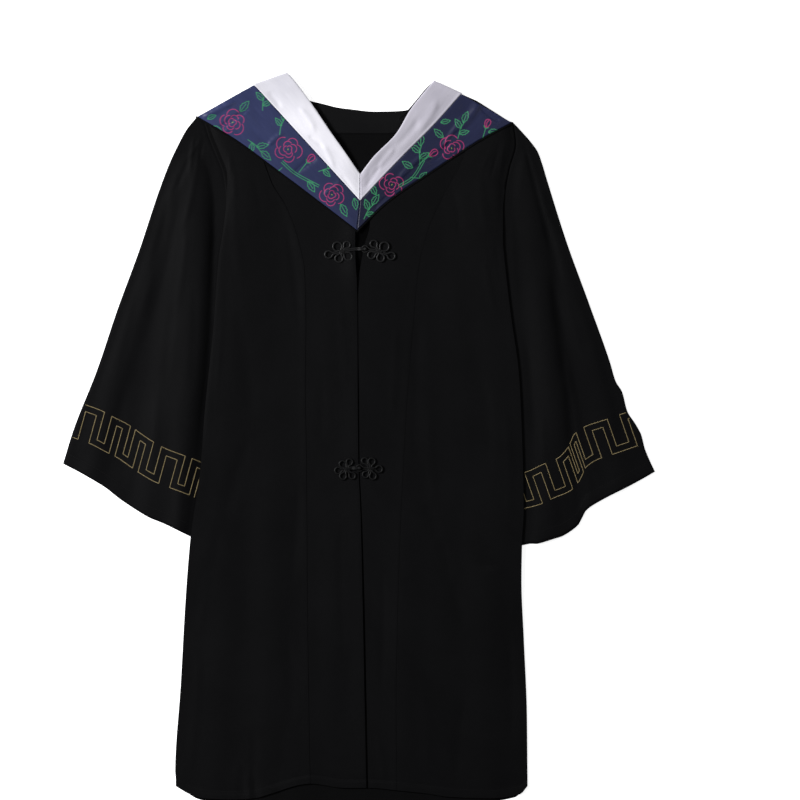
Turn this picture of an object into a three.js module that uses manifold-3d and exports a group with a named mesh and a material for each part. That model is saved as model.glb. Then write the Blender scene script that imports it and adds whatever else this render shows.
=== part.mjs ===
import * as THREE from 'three';
import Module from 'manifold-3d';

// A graduation gown laid flat on its back, in millimetres.
// X runs across the gown, Y towards the neck and Z up from the surface it lies on.
// Left and right are as seen from above with the neck at the top.

// Cloth
const wall = 1.2;                  // thickness of the cloth
const layerGap = 0.4;              // air between layers that lie on each other
const seamGap = 0.3;               // between two panels at a seam
const layer = wall + layerGap;     // height that one layer adds
const backShare = 0.5;             // the under layer lifts this much of each fold

// Lengths of the gown
const neckLevel = 600;             // highest point beside the neck
const notchLevel = 433;            // lowest point of the neckline
const easeLevel = 300;             // the rows run level from here down
const facingLevel = 502;           // lower seam of the back neck facing
const tuck = 27;                   // the body covers the sleeves by this much
const tuckSlope = 26;              // the body comes down over this much beside a sleeve
const neckEase = 20;               // width of the strip along the neckline and the opening
const underarmLevel = 300;         // the sleeves are closed tubes from here down
const sleeveEndLevel = -168;       // where the covered corner of each cuff lies

// The rows of the body from the shoulders to the hem, and those where it comes down below the cuffs
const rowLevels = [600, 576, 552, 528, 500, 467, 433, 400, 367, 330, 290, 245, 195, 145, 90, 30,
  -30, -90, -140, -178, -215, -260, -310, -365, -425, -485, -540, -590];
const lowestRaised = -178;

// Edges of the body: level, place across
const edges = {
  leftSide: [[523, -254], [497, -246], [467, -234], [430, -221], [393, -218], [343, -223], [297, -230],
    [180, -239], [54, -252], [-57, -261], [-152, -275], [-262, -284], [-402, -292], [-544, -301], [-570, -300]],
  leftPrincess: [[572, -190], [492, -167], [421, -143], [384, -120], [330, -100], [275, -89], [190, -87],
    [82, -88], [-34, -86], [-305, -84], [-565, -80]],
  leftFront: [[597, -120], [556, -82], [498, -43], [472, -23], [433, 1], [369, -3], [336, -6], [230, -5],
    [66, -3], [-33, -2], [-131, 2], [-262, 5], [-410, 8], [-570, 11]],
  rightFront: [[587, 123], [541, 85], [502, 61], [462, 23], [433, 4], [385, 13], [351, 20], [311, 11],
    [254, 2], [66, 1], [-33, 2], [-131, 6], [-262, 10], [-410, 13], [-570, 16]],
  rightPrincess: [[556, 192], [492, 179], [451, 166], [400, 138], [338, 111], [275, 97], [190, 89],
    [66, 79], [-98, 70], [-262, 64], [-426, 61], [-570, 62]],
  rightSide: [[518, 252], [485, 256], [446, 246], [410, 239], [374, 236], [328, 236], [292, 239],
    [205, 249], [111, 262], [16, 267], [-49, 269], [-118, 270], [-169, 267], [-230, 266], [-328, 270],
    [-451, 275], [-570, 276]],
};

// Outer folded edges of the sleeves: level, place across
const sleeveEdges = {
  left: [[528, -266], [508, -282], [484, -295], [459, -307], [410, -326], [311, -359], [213, -395],
    [115, -428], [16, -467], [-39, -484]],
  right: [[521, 251], [505, 266], [489, 280], [472, 292], [456, 298], [423, 308], [325, 339], [226, 375],
    [128, 410], [95, 420], [79, 430], [46, 439], [26, 452], [7, 462], [-13, 467], [-33, 475], [-52, 484]],
};

// How far each cuff hangs below the straight line between its corners: share from the outer corner, drop
const cuffDrops = {
  left: [[0, 0], [0.13, -1], [0.27, 0], [0.42, 7], [0.59, 10], [0.7, 6.5], [0.78, 5], [0.89, 3.5], [1, 0]],
  right: [[0, 0], [0.08, 2], [0.19, 3.5], [0.3, 4], [0.41, 6], [0.46, 9], [0.515, 27], [0.57, 31.5], [0.62, 33],
    [0.68, 30.7], [0.79, 26], [0.84, 20], [0.9, 16], [1, 6]],
};

// How far the back neck hangs below the line between its peaks: share from left to right, drop
const neckDrops = [[0, 0], [0.08, 27], [0.156, 39], [0.25, 43.5], [0.36, 49], [0.46, 51], [0.57, 53], [0.675, 52],
  [0.78, 50], [0.84, 47], [0.893, 30], [0.946, 13], [1, 0]];

// The hems: place across, level
const frontHem = [[-300, -567], [-277, -580], [-252, -587], [-208, -589], [-172, -587], [-146, -580], [-97, -565],
  [-80, -563], [-23, -570], [16, -570], [62, -574], [116, -580], [149, -585], [215, -587], [264, -580], [276, -567]];
const backHem = [[-297, -566], [-261, -589], [-211, -596], [-97, -600], [67, -600], [198, -594], [256, -585],
  [274, -567]];

// Largest folds: half width and a path of level, place across, height
const bodyFolds = [
  { halfWidth: 44, path: [[330, -150, 0], [230, -154, 2.5], [-18, -149, 4], [-200, -146, 6], [-352, -143, 5], [-545, -158, 3.5], [-600, -160, 3.5]] },
  { halfWidth: 40, path: [[-215, -214, 0], [-300, -222, 4.5], [-450, -234, 5], [-600, -232, 4]] },
  { halfWidth: 34, path: [[260, -52, 0], [150, -50, 3.5], [40, -46, 0]] },
  { halfWidth: 34, path: [[-110, -44, 0], [-230, -40, 3.5], [-400, -42, 3], [-500, -50, 0]] },
  { halfWidth: 46, path: [[-440, -98, 0], [-520, -98, 4], [-600, -98, 7]] },
  { halfWidth: 40, path: [[-90, 72, 0], [-180, 74, 4.5], [-400, 72, 5.5], [-600, 74, 4]] },
  { halfWidth: 46, path: [[340, 150, 0], [220, 160, 4.5], [60, 172, 5], [-60, 176, 2], [-120, 178, 0]] },
  { halfWidth: 48, path: [[0, 196, 0], [-120, 204, 3], [-260, 206, 6], [-410, 214, 5], [-600, 206, 3]] },
];
const sleeveFolds = {
  left: [
    { halfWidth: 34, path: [[500, -258, 0], [430, -268, 5], [344, -284, 7], [230, -307, 7], [115, -326, 7], [16, -339, 6.5], [-140, -352, 5]] },
    { halfWidth: 32, path: [[440, -300, 0], [360, -322, 3.5], [262, -345, 5], [148, -384, 6], [33, -416, 5.5], [-90, -446, 4.5]] },
    { halfWidth: 26, path: [[40, -285, 0], [-40, -290, 3], [-170, -296, 4.5]] },
  ],
  right: [
    { halfWidth: 32, path: [[500, 258, 0], [443, 264, 4], [328, 278, 7], [197, 297, 7], [66, 307, 6], [-49, 313, 6], [-190, 308, 5]] },
    { halfWidth: 40, path: [[470, 284, 0], [400, 308, 4.5], [311, 330, 6], [180, 368, 7], [66, 398, 6.5], [-49, 424, 6], [-100, 430, 5]] },
  ],
};

// The two bands of the collar, neck end first: place across, level
const bands = {
  left: {
    whiteInner: [[-120, 600], [-82, 557], [-43, 500], [-25, 475], [2, 436]],
    border: [[-173, 583], [2, 392]],
    navyOuter: [[-266, 531], [-199, 491], [-143, 450], [-67, 393], [-3, 344]],
  },
  right: {
    whiteInner: [[123, 589], [85, 542], [61, 502], [23, 463], [2, 436]],
    border: [[169, 568], [121, 514], [68, 461], [2, 392]],
    navyOuter: [[252, 521], [196, 491], [121, 442], [45, 390], [-3, 344]],
  },
};
const bindingWidth = 2.8;
const bandStations = 12;

// Cord closures. Each loop: place across, level, outer radius
const cord = { halfWidth: 1.55, halfHeight: 1.3, knotRadius: 3.1, sides: 6 };
const closures = {
  top: {
    knot: [10, 313],
    left: { hub: [-29, 309], loops: [[-49.7, 304, 7.5], [-35.2, 317, 8.9], [-19.7, 320, 6.9], [-32.8, 297.5, 7.7], [-17.7, 301, 7.9]] },
    right: { hub: [33, 309], loops: [[53, 301.5, 7.5], [41.8, 317, 8.9], [24.3, 321.5, 7.2], [35.6, 298.5, 7.5], [20.5, 303, 7.3]] },
  },
  low: {
    knot: [1, -46],
    left: { hub: [-20, -47.5], loops: [[-34, -50, 6.9], [-26.6, -39.5, 7], [-15.5, -36, 6.6], [-26, -59, 6.9], [-11, -58.5, 6.6]] },
    right: { hub: [19, -47], loops: [[33, -47.5, 6.9], [21, -35, 6.9], [9.5, -34, 6.4], [23, -59, 6.9], [11, -56.5, 6.6]] },
  },
};

// Colours of the parts
const colours = { cloth: 0x131315, facing: 0x1b1b1e, white: 0xe6e4ee, navy: 0x262c4c, binding: 0x08080a, cord: 0x2b2b2d };

// Value at t in a table of rows, through smooth pieces; the first column is the key and rises or falls.
function along(table, t, column = 1) {
  const rising = table[table.length - 1][0] > table[0][0];
  const key = (i) => (rising ? table[i][0] : -table[i][0]);
  const k = rising ? t : -t;
  const last = table.length - 1;
  if (k <= key(0)) return table[0][column];
  if (k >= key(last)) return table[last][column];
  let i = 0;
  while (k > key(i + 1)) i += 1;
  const slope = (a, b) => (table[b][column] - table[a][column]) / (key(b) - key(a));
  const here = slope(i, i + 1);
  const bend = (a, b) => (a * b <= 0 ? 0 : (2 * a * b) / (a + b));
  const m0 = i > 0 ? bend(slope(i - 1, i), here) : here;
  const m1 = i + 2 <= last ? bend(here, slope(i + 1, i + 2)) : here;
  const h = key(i + 1) - key(i);
  const u = (k - key(i)) / h;
  return (2 * u ** 3 - 3 * u ** 2 + 1) * table[i][column] + (u ** 3 - 2 * u ** 2 + u) * h * m0
    + (3 * u ** 2 - 2 * u ** 3) * table[i + 1][column] + (u ** 3 - u ** 2) * h * m1;
}

const mix = (a, b, t) => a + (b - a) * t;
const mixPoint = (p, q, t) => p.map((value, i) => mix(value, q[i], t));
const clamp = (value) => Math.min(1, Math.max(0, value));
const smooth = (value) => clamp(value) ** 2 * (3 - 2 * clamp(value));

// Height of the folds at a place: soft ridges that keep off each other's crests
function foldHeight(folds, x, y) {
  let height = 0;
  for (const { halfWidth, path } of folds) {
    if (y > path[0][0] || y < path[path.length - 1][0]) continue;
    const off = Math.abs(x - along(path, y)) / halfWidth;
    if (off < 1) height = Math.max(height, along(path, y, 2) * 0.5 * (1 + Math.cos(Math.PI * off)));
  }
  return height;
}

// Closed solid between an upper and a lower skin with the same triangles
function solidBetween(upper, lower, triangles) {
  const count = upper.length;
  const index = [];
  const open = new Map();
  for (const [a, b, c] of triangles) {
    index.push(a, b, c, a + count, c + count, b + count);
    for (const [from, to] of [[a, b], [b, c], [c, a]]) {
      if (!open.delete(`${to} ${from}`)) open.set(`${from} ${to}`, [from, to]);
    }
  }
  for (const [a, b] of open.values()) index.push(b, a, a + count, b, a + count, b + count);
  const points = [...upper, ...lower];
  let volume = 0;
  const corners = new THREE.Matrix3();
  for (let i = 0; i < index.length; i += 3) {
    corners.set(...points[index[i]], ...points[index[i + 1]], ...points[index[i + 2]]);
    volume += corners.determinant();
  }
  if (volume < 0) for (let i = 0; i < index.length; i += 3) [index[i + 1], index[i + 2]] = [index[i + 2], index[i + 1]];
  const geometry = new THREE.BufferGeometry();
  geometry.setAttribute('position', new THREE.Float32BufferAttribute(points.flat(), 3));
  geometry.setIndex(index);
  geometry.computeVertexNormals();
  return geometry;
}

const sunk = (points, depth) => points.map(([x, y, z]) => [x, y, z - depth]);

// Two triangles for each cell of a grid with this many columns
function gridTriangles(rows, columns) {
  const triangles = [];
  for (let r = 0; r < rows - 1; r += 1) {
    for (let c = 0; c < columns - 1; c += 1) {
      const a = r * columns + c;
      triangles.push([a, a + columns, a + 1], [a + 1, a + columns, a + columns + 1]);
    }
  }
  return triangles;
}

// The body's grid: the front panels and the back share its columns, so their layers keep apart.
const tops = { leftSide: 523, leftPrincess: 572, leftFront: 597, rightFront: 587, rightPrincess: 556, rightSide: 518 };
function edgePoint(name, level) {
  const from = name.endsWith('Front') ? notchLevel : easeLevel;
  const y = level - (neckLevel - tops[name]) * clamp((level - from) / (neckLevel - from));
  return [along(edges[name], y), y];
}

// Shares of the way from the side to the princess seam, and from the princess seam to the front edge
function sideShares(width) {
  const first = [0, tuck, tuck + tuckSlope].map((d) => d / width);
  return [...first, ...[0.25, 0.5, 0.75, 1].map((t) => mix(first[2], 1, t))];
}
function centreShares(width) {
  const end = 1 - neckEase / width;
  return [...[0, 1 / 3, 2 / 3, 1].map((t) => t * end), 1];
}
const distance = (p, q) => Math.hypot(p[0] - q[0], p[1] - q[1]);

const panelColumns = { leftSide: [0, 6], leftCentre: [6, 10], rightCentre: [11, 15], rightSide: [15, 21] };
function bodyRow(level) {
  const [side, princess, front, front2, princess2, side2] = ['leftSide', 'leftPrincess', 'leftFront',
    'rightFront', 'rightPrincess', 'rightSide'].map((name) => edgePoint(name, level));
  const run = (p, q, shares) => shares(distance(p, q)).map((t) => mixPoint(p, q, t));
  return [
    ...run(side, princess, sideShares),
    ...run(princess, front, centreShares).slice(1),
    ...run(princess2, front2, centreShares).reverse(),
    ...run(side2, princess2, sideShares).reverse().slice(1),
  ];
}

// Folds die out beside the sleeves, at the side seams, and under the collar and the closures.
function bodyFold(x, y) {
  const edge = Math.min(x - along(edges.leftSide, y), along(edges.rightSide, y) - x);
  const inner = y > lowestRaised - 30 ? tuck + tuckSlope : 6;
  const collar = smooth((338 - Math.abs(x) * -0.72 - y) / 60);
  const closure = Math.min(...[closures.top, closures.low].map(({ knot }) => Math.max(
    smooth((Math.abs(x - knot[0]) - 62) / 24), smooth((Math.abs(y - knot[1]) - 30) / 40))));
  return foldHeight(bodyFolds, x, y) * smooth((edge - inner) / 40) * collar * closure;
}

// One row of body points; raise is the height that the tucked sleeves and the facing add.
const lastRow = rowLevels.length - 1;
function bodyPoints(hem, lift) {
  return rowLevels.map((level, r) => bodyRow(level).map(([x, y], c) => {
    const place = r === lastRow ? [x, along(hem, x)] : [x, y];
    const overSleeve = (c <= 1 || c >= 20) && level >= lowestRaised ? 2 * layer : 0;
    const overFacing = c >= 9 && c <= 12 && level >= 500 ? layer : 0;
    return [...place, lift(bodyFold(...place), overSleeve, overFacing)];
  }));
}
const frontGrid = bodyPoints(frontHem, (fold, overSleeve, overFacing) => layer + wall + overSleeve + overFacing + fold);
const backGrid = bodyPoints(backHem, (fold, overSleeve) => wall + overSleeve + backShare * fold);

function frontPanel(name) {
  const [from, to] = panelColumns[name];
  const points = frontGrid.flatMap((row) => row.slice(from, to + 1).map(([x, y, z], c, all) => {
    const inset = c === 0 ? seamGap / 2 : c === all.length - 1 ? -seamGap / 2 : 0;
    return [x + inset * 1.1, y, z];
  }));
  return solidBetween(points, sunk(points, wall), gridTriangles(frontGrid.length, to - from + 1));
}

// The back is one piece. Between the neckline edges it has its own columns, down to the notch.
const notchRow = rowLevels.indexOf(notchLevel);
const neckColumns = 12;
function neckPoint(r, share) {
  const [left, right] = [backGrid[r][10], backGrid[r][11]];
  const depth = along(neckDrops, share) * (1 - r / notchRow);
  return [mix(left[0], right[0], share), mix(left[1], right[1], share) - depth, left[2]];
}
function backPanel() {
  const columns = backGrid[0].length;
  const points = backGrid.flat();
  const triangles = [];
  const quad = (a, b, c, d) => triangles.push([a, c, b], [b, c, d]);
  for (let r = 0; r < lastRow; r += 1) {
    for (let c = 0; c < columns - 1; c += 1) {
      if (c === 10 && r < notchRow) continue;
      const a = r * columns + c;
      quad(a, a + 1, a + columns, a + columns + 1);
    }
  }
  const neckIndex = [];
  for (let r = 0; r < notchRow; r += 1) {
    const row = [r * columns + 10];
    for (let c = 1; c < neckColumns; c += 1) row.push(points.push(neckPoint(r, c / neckColumns)) - 1);
    neckIndex.push([...row, r * columns + 11]);
  }
  for (let r = 0; r + 1 < notchRow; r += 1) {
    for (let c = 0; c < neckColumns; c += 1) {
      quad(neckIndex[r][c], neckIndex[r][c + 1], neckIndex[r + 1][c], neckIndex[r + 1][c + 1]);
    }
  }
  const [above, left, right] = [neckIndex[notchRow - 1], notchRow * columns + 10, notchRow * columns + 11];
  for (let c = 0; c < neckColumns; c += 1) triangles.push([above[c], c < neckColumns / 2 ? left : right, above[c + 1]]);
  triangles.push([above[neckColumns / 2], left, right]);
  return solidBetween(points, sunk(points, wall), triangles);
}

// Facing inside the back neck, from the neck edge to its lower seam; its ends reach under the fronts.
function neckFacing() {
  const reach = 15;
  const columns = 16;
  const rows = 4;
  const points = [];
  for (let r = 0; r <= rows; r += 1) {
    const edge = (name) => {
      const y = mix(tops[name], facingLevel, r / rows);
      return [along(edges[name], y), y];
    };
    const [left, right] = [edge('leftFront'), edge('rightFront')];
    for (let c = 0; c <= columns; c += 1) {
      const share = clamp((c - 1) / (columns - 2));
      const depth = along(neckDrops, share) * (1 - r / rows);
      const [x, y] = mixPoint(left, right, share);
      const beyond = c === 0 ? -1 : Number(c === columns);
      const down = 0.36 * Math.abs(beyond) * reach * (1 - r / rows);
      points.push([x + beyond * reach, y - depth - down - 0.3 * (1 - r / rows), layer + wall]);
    }
  }
  return solidBetween(points, sunk(points, wall), gridTriangles(rows + 1, columns + 1));
}

// A bell sleeve: one cloth, folded along its outer edge and joined below the arm, open at armhole and cuff
const sleeveRows = 20;
const sleeveCells = 9;
function sleeve(side) {
  const sign = side === 'left' ? -1 : 1;
  const outerTable = sleeveEdges[side];
  const [topLevel, endLevel] = [outerTable[0][0], outerTable[outerTable.length - 1][0]];
  const sideName = `${side}Side`;
  const covered = (level) => {
    const row = bodyRow(level);
    const [edge, inside] = side === 'left' ? [row[0], row[1]] : [row[21], row[20]];
    return mixPoint(edge, inside, (tuck - 2) / tuck);
  };
  const fold = (x, y, v) => foldHeight(sleeveFolds[side], x, y)
    * smooth((sign * (x - along(edges[sideName], y)) - 7) / 24)
    * smooth(sign * (along(outerTable, y) - x) / 26) * smooth((v - 0.03) / 0.1);
  const outside = [];
  const inside = [];
  const closedFrom = [];
  for (let r = 0; r <= sleeveRows; r += 1) {
    const v = r / sleeveRows;
    const y = mix(topLevel, endLevel, v);
    const outer = [along(outerTable, y), y];
    const level = mix(592, sleeveEndLevel, v);
    const inner = covered(level);
    closedFrom.push(level <= underarmLevel);
    const width = distance(outer, inner);
    const lastCell = Math.min(0.6, (tuck + 7) / width);
    const shares = [];
    for (let c = 0; c < sleeveCells; c += 1) shares.push((c / (sleeveCells - 1)) * (1 - lastCell));
    shares.push(1);
    const place = (share) => {
      const [x, baseY] = mixPoint(outer, inner, share);
      return [x, baseY - along(cuffDrops[side], share) * v ** 5];
    };
    const upper = [];
    const lower = [];
    for (const share of shares) {
      const [x, py] = place(share);
      const [innerX, innerY] = place(share + (wall / width) * (1 - 2 * share));
      const lift = fold(x, py, v);
      upper.push([[x, py, layer + wall + lift], [innerX, innerY, layer + lift]]);
      lower.push([[x, py, backShare * lift], [innerX, innerY, wall + backShare * lift]]);
    }
    const rim = [[outer[0] + sign * 0.9, outer[1], (layer + wall) / 2], [outer[0] - sign * wall, outer[1], wall + layerGap / 2]];
    for (const [out, into] of [...upper.reverse(), rim, ...lower]) {
      outside.push(out);
      inside.push(into);
    }
  }
  const ring = 2 * (sleeveCells + 1) + 1;
  const triangles = gridTriangles(sleeveRows + 1, ring);
  for (let r = 0; r < sleeveRows; r += 1) {
    if (!closedFrom[r]) continue;
    const [a, b] = [r * ring + ring - 1, r * ring];
    triangles.push([a, a + ring, b], [b, a + ring, b + ring]);
  }
  return solidBetween(outside, inside, triangles);
}

// Height of the fronts at a place, from their own triangles
function heightOf(x, y) {
  for (let r = 0; r < lastRow; r += 1) {
    for (let c = 0; c < 21; c += 1) {
      if (c === 10) continue;
      const [a, b, d, e] = [frontGrid[r][c], frontGrid[r][c + 1], frontGrid[r + 1][c], frontGrid[r + 1][c + 1]];
      for (const [p, q, s] of [[a, d, b], [b, d, e]]) {
        const area = (q[0] - p[0]) * (s[1] - p[1]) - (s[0] - p[0]) * (q[1] - p[1]);
        const u = ((x - p[0]) * (s[1] - p[1]) - (s[0] - p[0]) * (y - p[1])) / area;
        const v = ((q[0] - p[0]) * (y - p[1]) - (x - p[0]) * (q[1] - p[1])) / area;
        if (u >= -1e-6 && v >= -1e-6 && u + v <= 1 + 1e-6) return p[2] + u * (q[2] - p[2]) + v * (s[2] - p[2]);
      }
    }
  }
  return 0;
}
function clearHeight(x, y) {
  let height = heightOf(x, y);
  for (const reach of [12, 24]) {
    for (let i = 0; i < 12; i += 1) {
      const angle = (i * Math.PI) / 6;
      height = Math.max(height, heightOf(x + reach * Math.cos(angle), y + reach * Math.sin(angle)));
    }
  }
  return height;
}

// Point at a share of the way along a line of points
function onLine(line, share) {
  const lengths = line.slice(1).map((p, i) => distance(p, line[i]));
  let rest = share * lengths.reduce((a, b) => a + b, 0);
  for (let i = 0; i < lengths.length; i += 1) {
    if (rest <= lengths[i] || i === lengths.length - 1) return mixPoint(line[i], line[i + 1], Math.min(1, rest / lengths[i]));
    rest -= lengths[i];
  }
  return line[0];
}

// A band between two lines, lying on the fronts; the seams are half a gap in from both lines and from the mitre.
function band(side, firstLine, secondLine, cells, firstInset, secondInset) {
  const sign = side === 'left' ? -1 : 1;
  const points = [];
  for (let i = 0; i <= bandStations; i += 1) {
    const [p, q] = [onLine(firstLine, i / bandStations), onLine(secondLine, i / bandStations)];
    const width = distance(p, q);
    for (let c = 0; c <= cells; c += 1) {
      const share = mix(firstInset / width, 1 - secondInset / width, c / cells);
      const [x, y] = mixPoint(p, q, share);
      const mitre = i === bandStations ? sign * (seamGap / 2) : 0;
      points.push([x + mitre, y, clearHeight(x, y) + layerGap + 0.15 + wall]);
    }
  }
  return solidBetween(points, sunk(points, wall), gridTriangles(bandStations + 1, cells + 1));
}

// Line beside another one, on its outer side, meeting its mirror image below the tip
function besideLine(line, side, offset) {
  const sign = side === 'left' ? -1 : 1;
  return line.map((p, i) => {
    const [from, to] = [line[Math.max(0, i - 1)], line[Math.min(line.length - 1, i + 1)]];
    const [dx, dy] = [(to[0] - from[0]) / distance(from, to), (to[1] - from[1]) / distance(from, to)];
    if (i === line.length - 1) return [p[0], p[1] - offset / Math.abs(dx)];
    return [p[0] + sign * Math.abs(dy) * offset, p[1] - Math.abs(dx) * offset];
  });
}

// Cord through a path of places with heights, round in section, closed on itself or with flat ends
const { Manifold, Mesh: SolidMesh } = await Module().then((kit) => {
  kit.setup();
  return kit;
});
function cordSolid(path, closed) {
  const points = [];
  const count = path.length;
  path.forEach((p, i) => {
    const before = path[closed ? (i + count - 1) % count : Math.max(0, i - 1)];
    const after = path[closed ? (i + 1) % count : Math.min(count - 1, i + 1)];
    const reach = distance(before, after);
    const across = [(after[1] - before[1]) / reach, -(after[0] - before[0]) / reach];
    for (let k = 0; k < cord.sides; k += 1) {
      const angle = ((k + 0.5) * 2 * Math.PI) / cord.sides;
      const [w, h] = [cord.halfWidth * Math.cos(angle), cord.halfHeight * Math.sin(angle)];
      points.push([p[0] + across[0] * w, p[1] + across[1] * w, p[2] + h]);
    }
  });
  const triangles = [];
  const rounds = closed ? count : count - 1;
  for (let i = 0; i < rounds; i += 1) {
    for (let k = 0; k < cord.sides; k += 1) {
      const [a, b] = [i * cord.sides + k, i * cord.sides + ((k + 1) % cord.sides)];
      const [c, d] = [(((i + 1) % count) * cord.sides) + k, (((i + 1) % count) * cord.sides) + ((k + 1) % cord.sides)];
      triangles.push(a, b, c, b, d, c);
    }
  }
  if (!closed) {
    const end = (count - 1) * cord.sides;
    for (let k = 1; k + 1 < cord.sides; k += 1) triangles.push(0, k + 1, k, end, end + k, end + k + 1);
  }
  let solid = new Manifold(new SolidMesh({ numProp: 3, vertProperties: new Float32Array(points.flat()), triVerts: new Uint32Array(triangles) }));
  if (solid.volume() < 0) {
    for (let i = 0; i < triangles.length; i += 3) [triangles[i + 1], triangles[i + 2]] = [triangles[i + 2], triangles[i + 1]];
    solid = new Manifold(new SolidMesh({ numProp: 3, vertProperties: new Float32Array(points.flat()), triVerts: new Uint32Array(triangles) }));
  }
  return solid;
}

// A loop of cord that leaves the hub, goes round its centre and comes back
const restHeight = layer + wall + layerGap + cord.halfHeight;
function loopPath(hub, [x, y, outerRadius]) {
  const radius = outerRadius - cord.halfWidth;
  const heading = Math.atan2(y - hub[1], x - hub[0]);
  const path = [[hub[0], hub[1], restHeight]];
  const turns = 10;
  const wrap = Math.PI - Math.acos(Math.min(0.95, radius / distance(hub, [x, y])));
  for (let i = 0; i <= turns; i += 1) {
    const angle = heading + mix(-wrap, wrap, i / turns);
    path.push([x + radius * Math.cos(angle), y + radius * Math.sin(angle), restHeight]);
  }
  return path;
}

function closureHalf(closure, side) {
  const { hub, loops } = closure[side];
  const [knotX, knotY] = closure.knot;
  const solids = loops.map((loop) => cordSolid(loopPath(hub, loop), true));
  if (side === 'right') {
    solids.push(cordSolid(loopPath(hub, [knotX, knotY, 5.2 + cord.halfWidth]), true));
  } else {
    const over = restHeight + 2 * cord.halfHeight + layerGap;
    for (const off of [-1.35, 1.35]) {
      solids.push(cordSolid([[hub[0], hub[1] + off, restHeight], [knotX - 12, knotY + off, restHeight],
        [knotX - 9, knotY + off, mix(restHeight, over, 0.7)], [knotX - 6.5, knotY + off, over], [knotX - 1, knotY + off * 0.6, over]], false));
    }
    solids.push(Manifold.sphere(cord.knotRadius, 12).translate([knotX, knotY, layer + wall + layerGap + cord.knotRadius + 0.3]));
  }
  const mesh = Manifold.union(solids).getMesh();
  const geometry = new THREE.BufferGeometry();
  geometry.setAttribute('position', new THREE.BufferAttribute(new Float32Array(mesh.vertProperties), 3));
  geometry.setIndex(new THREE.BufferAttribute(new Uint32Array(mesh.triVerts), 1));
  geometry.computeVertexNormals();
  return geometry;
}

const gown = new THREE.Group();
gown.name = 'graduation_gown';
function add(name, geometry, colour, roughness = 0.9) {
  const mesh = new THREE.Mesh(geometry, new THREE.MeshStandardMaterial({ color: colour, roughness, metalness: 0 }));
  mesh.name = name;
  gown.add(mesh);
}

add('back_panel', backPanel(), colours.cloth);
add('back_neck_facing', neckFacing(), colours.facing);
add('front_left_side', frontPanel('leftSide'), colours.cloth);
add('front_left_centre', frontPanel('leftCentre'), colours.cloth);
add('front_right_centre', frontPanel('rightCentre'), colours.cloth);
add('front_right_side', frontPanel('rightSide'), colours.cloth);
for (const side of ['left', 'right']) {
  const { whiteInner, border, navyOuter } = bands[side];
  add(`sleeve_${side}`, sleeve(side), colours.cloth);
  add(`collar_white_${side}`, band(side, whiteInner, border, 2, 0, seamGap * 0.7), colours.white, 0.45);
  add(`collar_navy_${side}`, band(side, border, navyOuter, 3, seamGap * 0.7, 0), colours.navy, 0.45);
  add(`collar_binding_${side}`, band(side, besideLine(navyOuter, side, seamGap * 1.1),
    besideLine(navyOuter, side, seamGap * 1.1 + bindingWidth), 1, 0, 0), colours.binding);
}
for (const [level, closure] of Object.entries(closures)) {
  for (const side of ['left', 'right']) add(`frog_${level}_${side}`, closureHalf(closure, side), colours.cord, 0.7);
}

export default gown;
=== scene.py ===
import math
import bmesh
import bpy
import numpy as np
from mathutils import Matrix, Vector
from mathutils.bvhtree import BVHTree


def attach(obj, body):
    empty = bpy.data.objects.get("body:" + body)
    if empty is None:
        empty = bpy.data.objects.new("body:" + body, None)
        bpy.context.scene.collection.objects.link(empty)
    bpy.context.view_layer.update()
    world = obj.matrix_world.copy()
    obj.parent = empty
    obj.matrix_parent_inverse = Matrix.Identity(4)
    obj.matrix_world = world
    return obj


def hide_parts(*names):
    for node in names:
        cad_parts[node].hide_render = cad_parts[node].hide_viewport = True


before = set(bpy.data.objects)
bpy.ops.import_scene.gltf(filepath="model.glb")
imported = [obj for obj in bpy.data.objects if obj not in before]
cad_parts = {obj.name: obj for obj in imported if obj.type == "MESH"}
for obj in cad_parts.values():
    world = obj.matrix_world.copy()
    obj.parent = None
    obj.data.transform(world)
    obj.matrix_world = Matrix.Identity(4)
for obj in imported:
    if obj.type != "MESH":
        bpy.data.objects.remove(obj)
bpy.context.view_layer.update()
print("frame loaded")

# Lengths in the tables below are millimetres; meshes are made in metres.
mm = 0.001
cloth = {
    "wall": 1.2, "gap": 0.4,          # thickness and air of the layers in the solids
    "thickness": 0.8,                 # of the cloth that shows
    "edgeRound": 0.4,                 # how far a cut edge bulges, as a share of the thickness
    "tuck": 27.0, "tuckSlope": 80.0,  # how far the body covers the sleeves, and comes down beside them
    "hemDepth": 13.0, "hemStep": 1.5,   # turned-up hems, and the width of their step
}
layer = cloth["wall"] + cloth["gap"]
outwards = {"left": -1, "right": 1}  # the way that X runs from the middle of the gown


# Helpers for all pieces
def along(table, t, column=1):
    # Smooth value at t in a table of rows whose first column rises or falls
    rows = np.array(table, float)
    if rows[-1, 0] < rows[0, 0]:
        rows = rows[::-1]
    key, value = rows[:, 0], rows[:, column]
    slope = np.diff(value) / np.diff(key)
    a, b = slope[:-1], slope[1:]
    total = np.where(np.abs(a + b) < 1e-12, 1.0, a + b)
    inner = np.where(a * b <= 0, 0.0, 2 * a * b / total)
    tangent = np.concatenate([[slope[0]], inner, [slope[-1]]])
    t = np.clip(np.asarray(t, float), key[0], key[-1])
    i = np.clip(np.searchsorted(key, t, side="right") - 1, 0, len(slope) - 1)
    h = key[i + 1] - key[i]
    u = (t - key[i]) / h
    return ((2 * u**3 - 3 * u**2 + 1) * value[i] + (u**3 - 2 * u**2 + u) * h * tangent[i]
            + (3 * u**2 - 2 * u**3) * value[i + 1] + (u**3 - u**2) * h * tangent[i + 1])


def smooth(value):
    value = np.clip(value, 0, 1)
    return value * value * (3 - 2 * value)


def ease(value, start, over):
    # 0 up to start and 1 from start + over on; where over is below zero, the other way round
    return smooth((value - start) / over)


def bell(off, width):
    # 1 in the middle, and nearly 0 two widths off
    return np.exp(-(off / width) ** 2)


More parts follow.
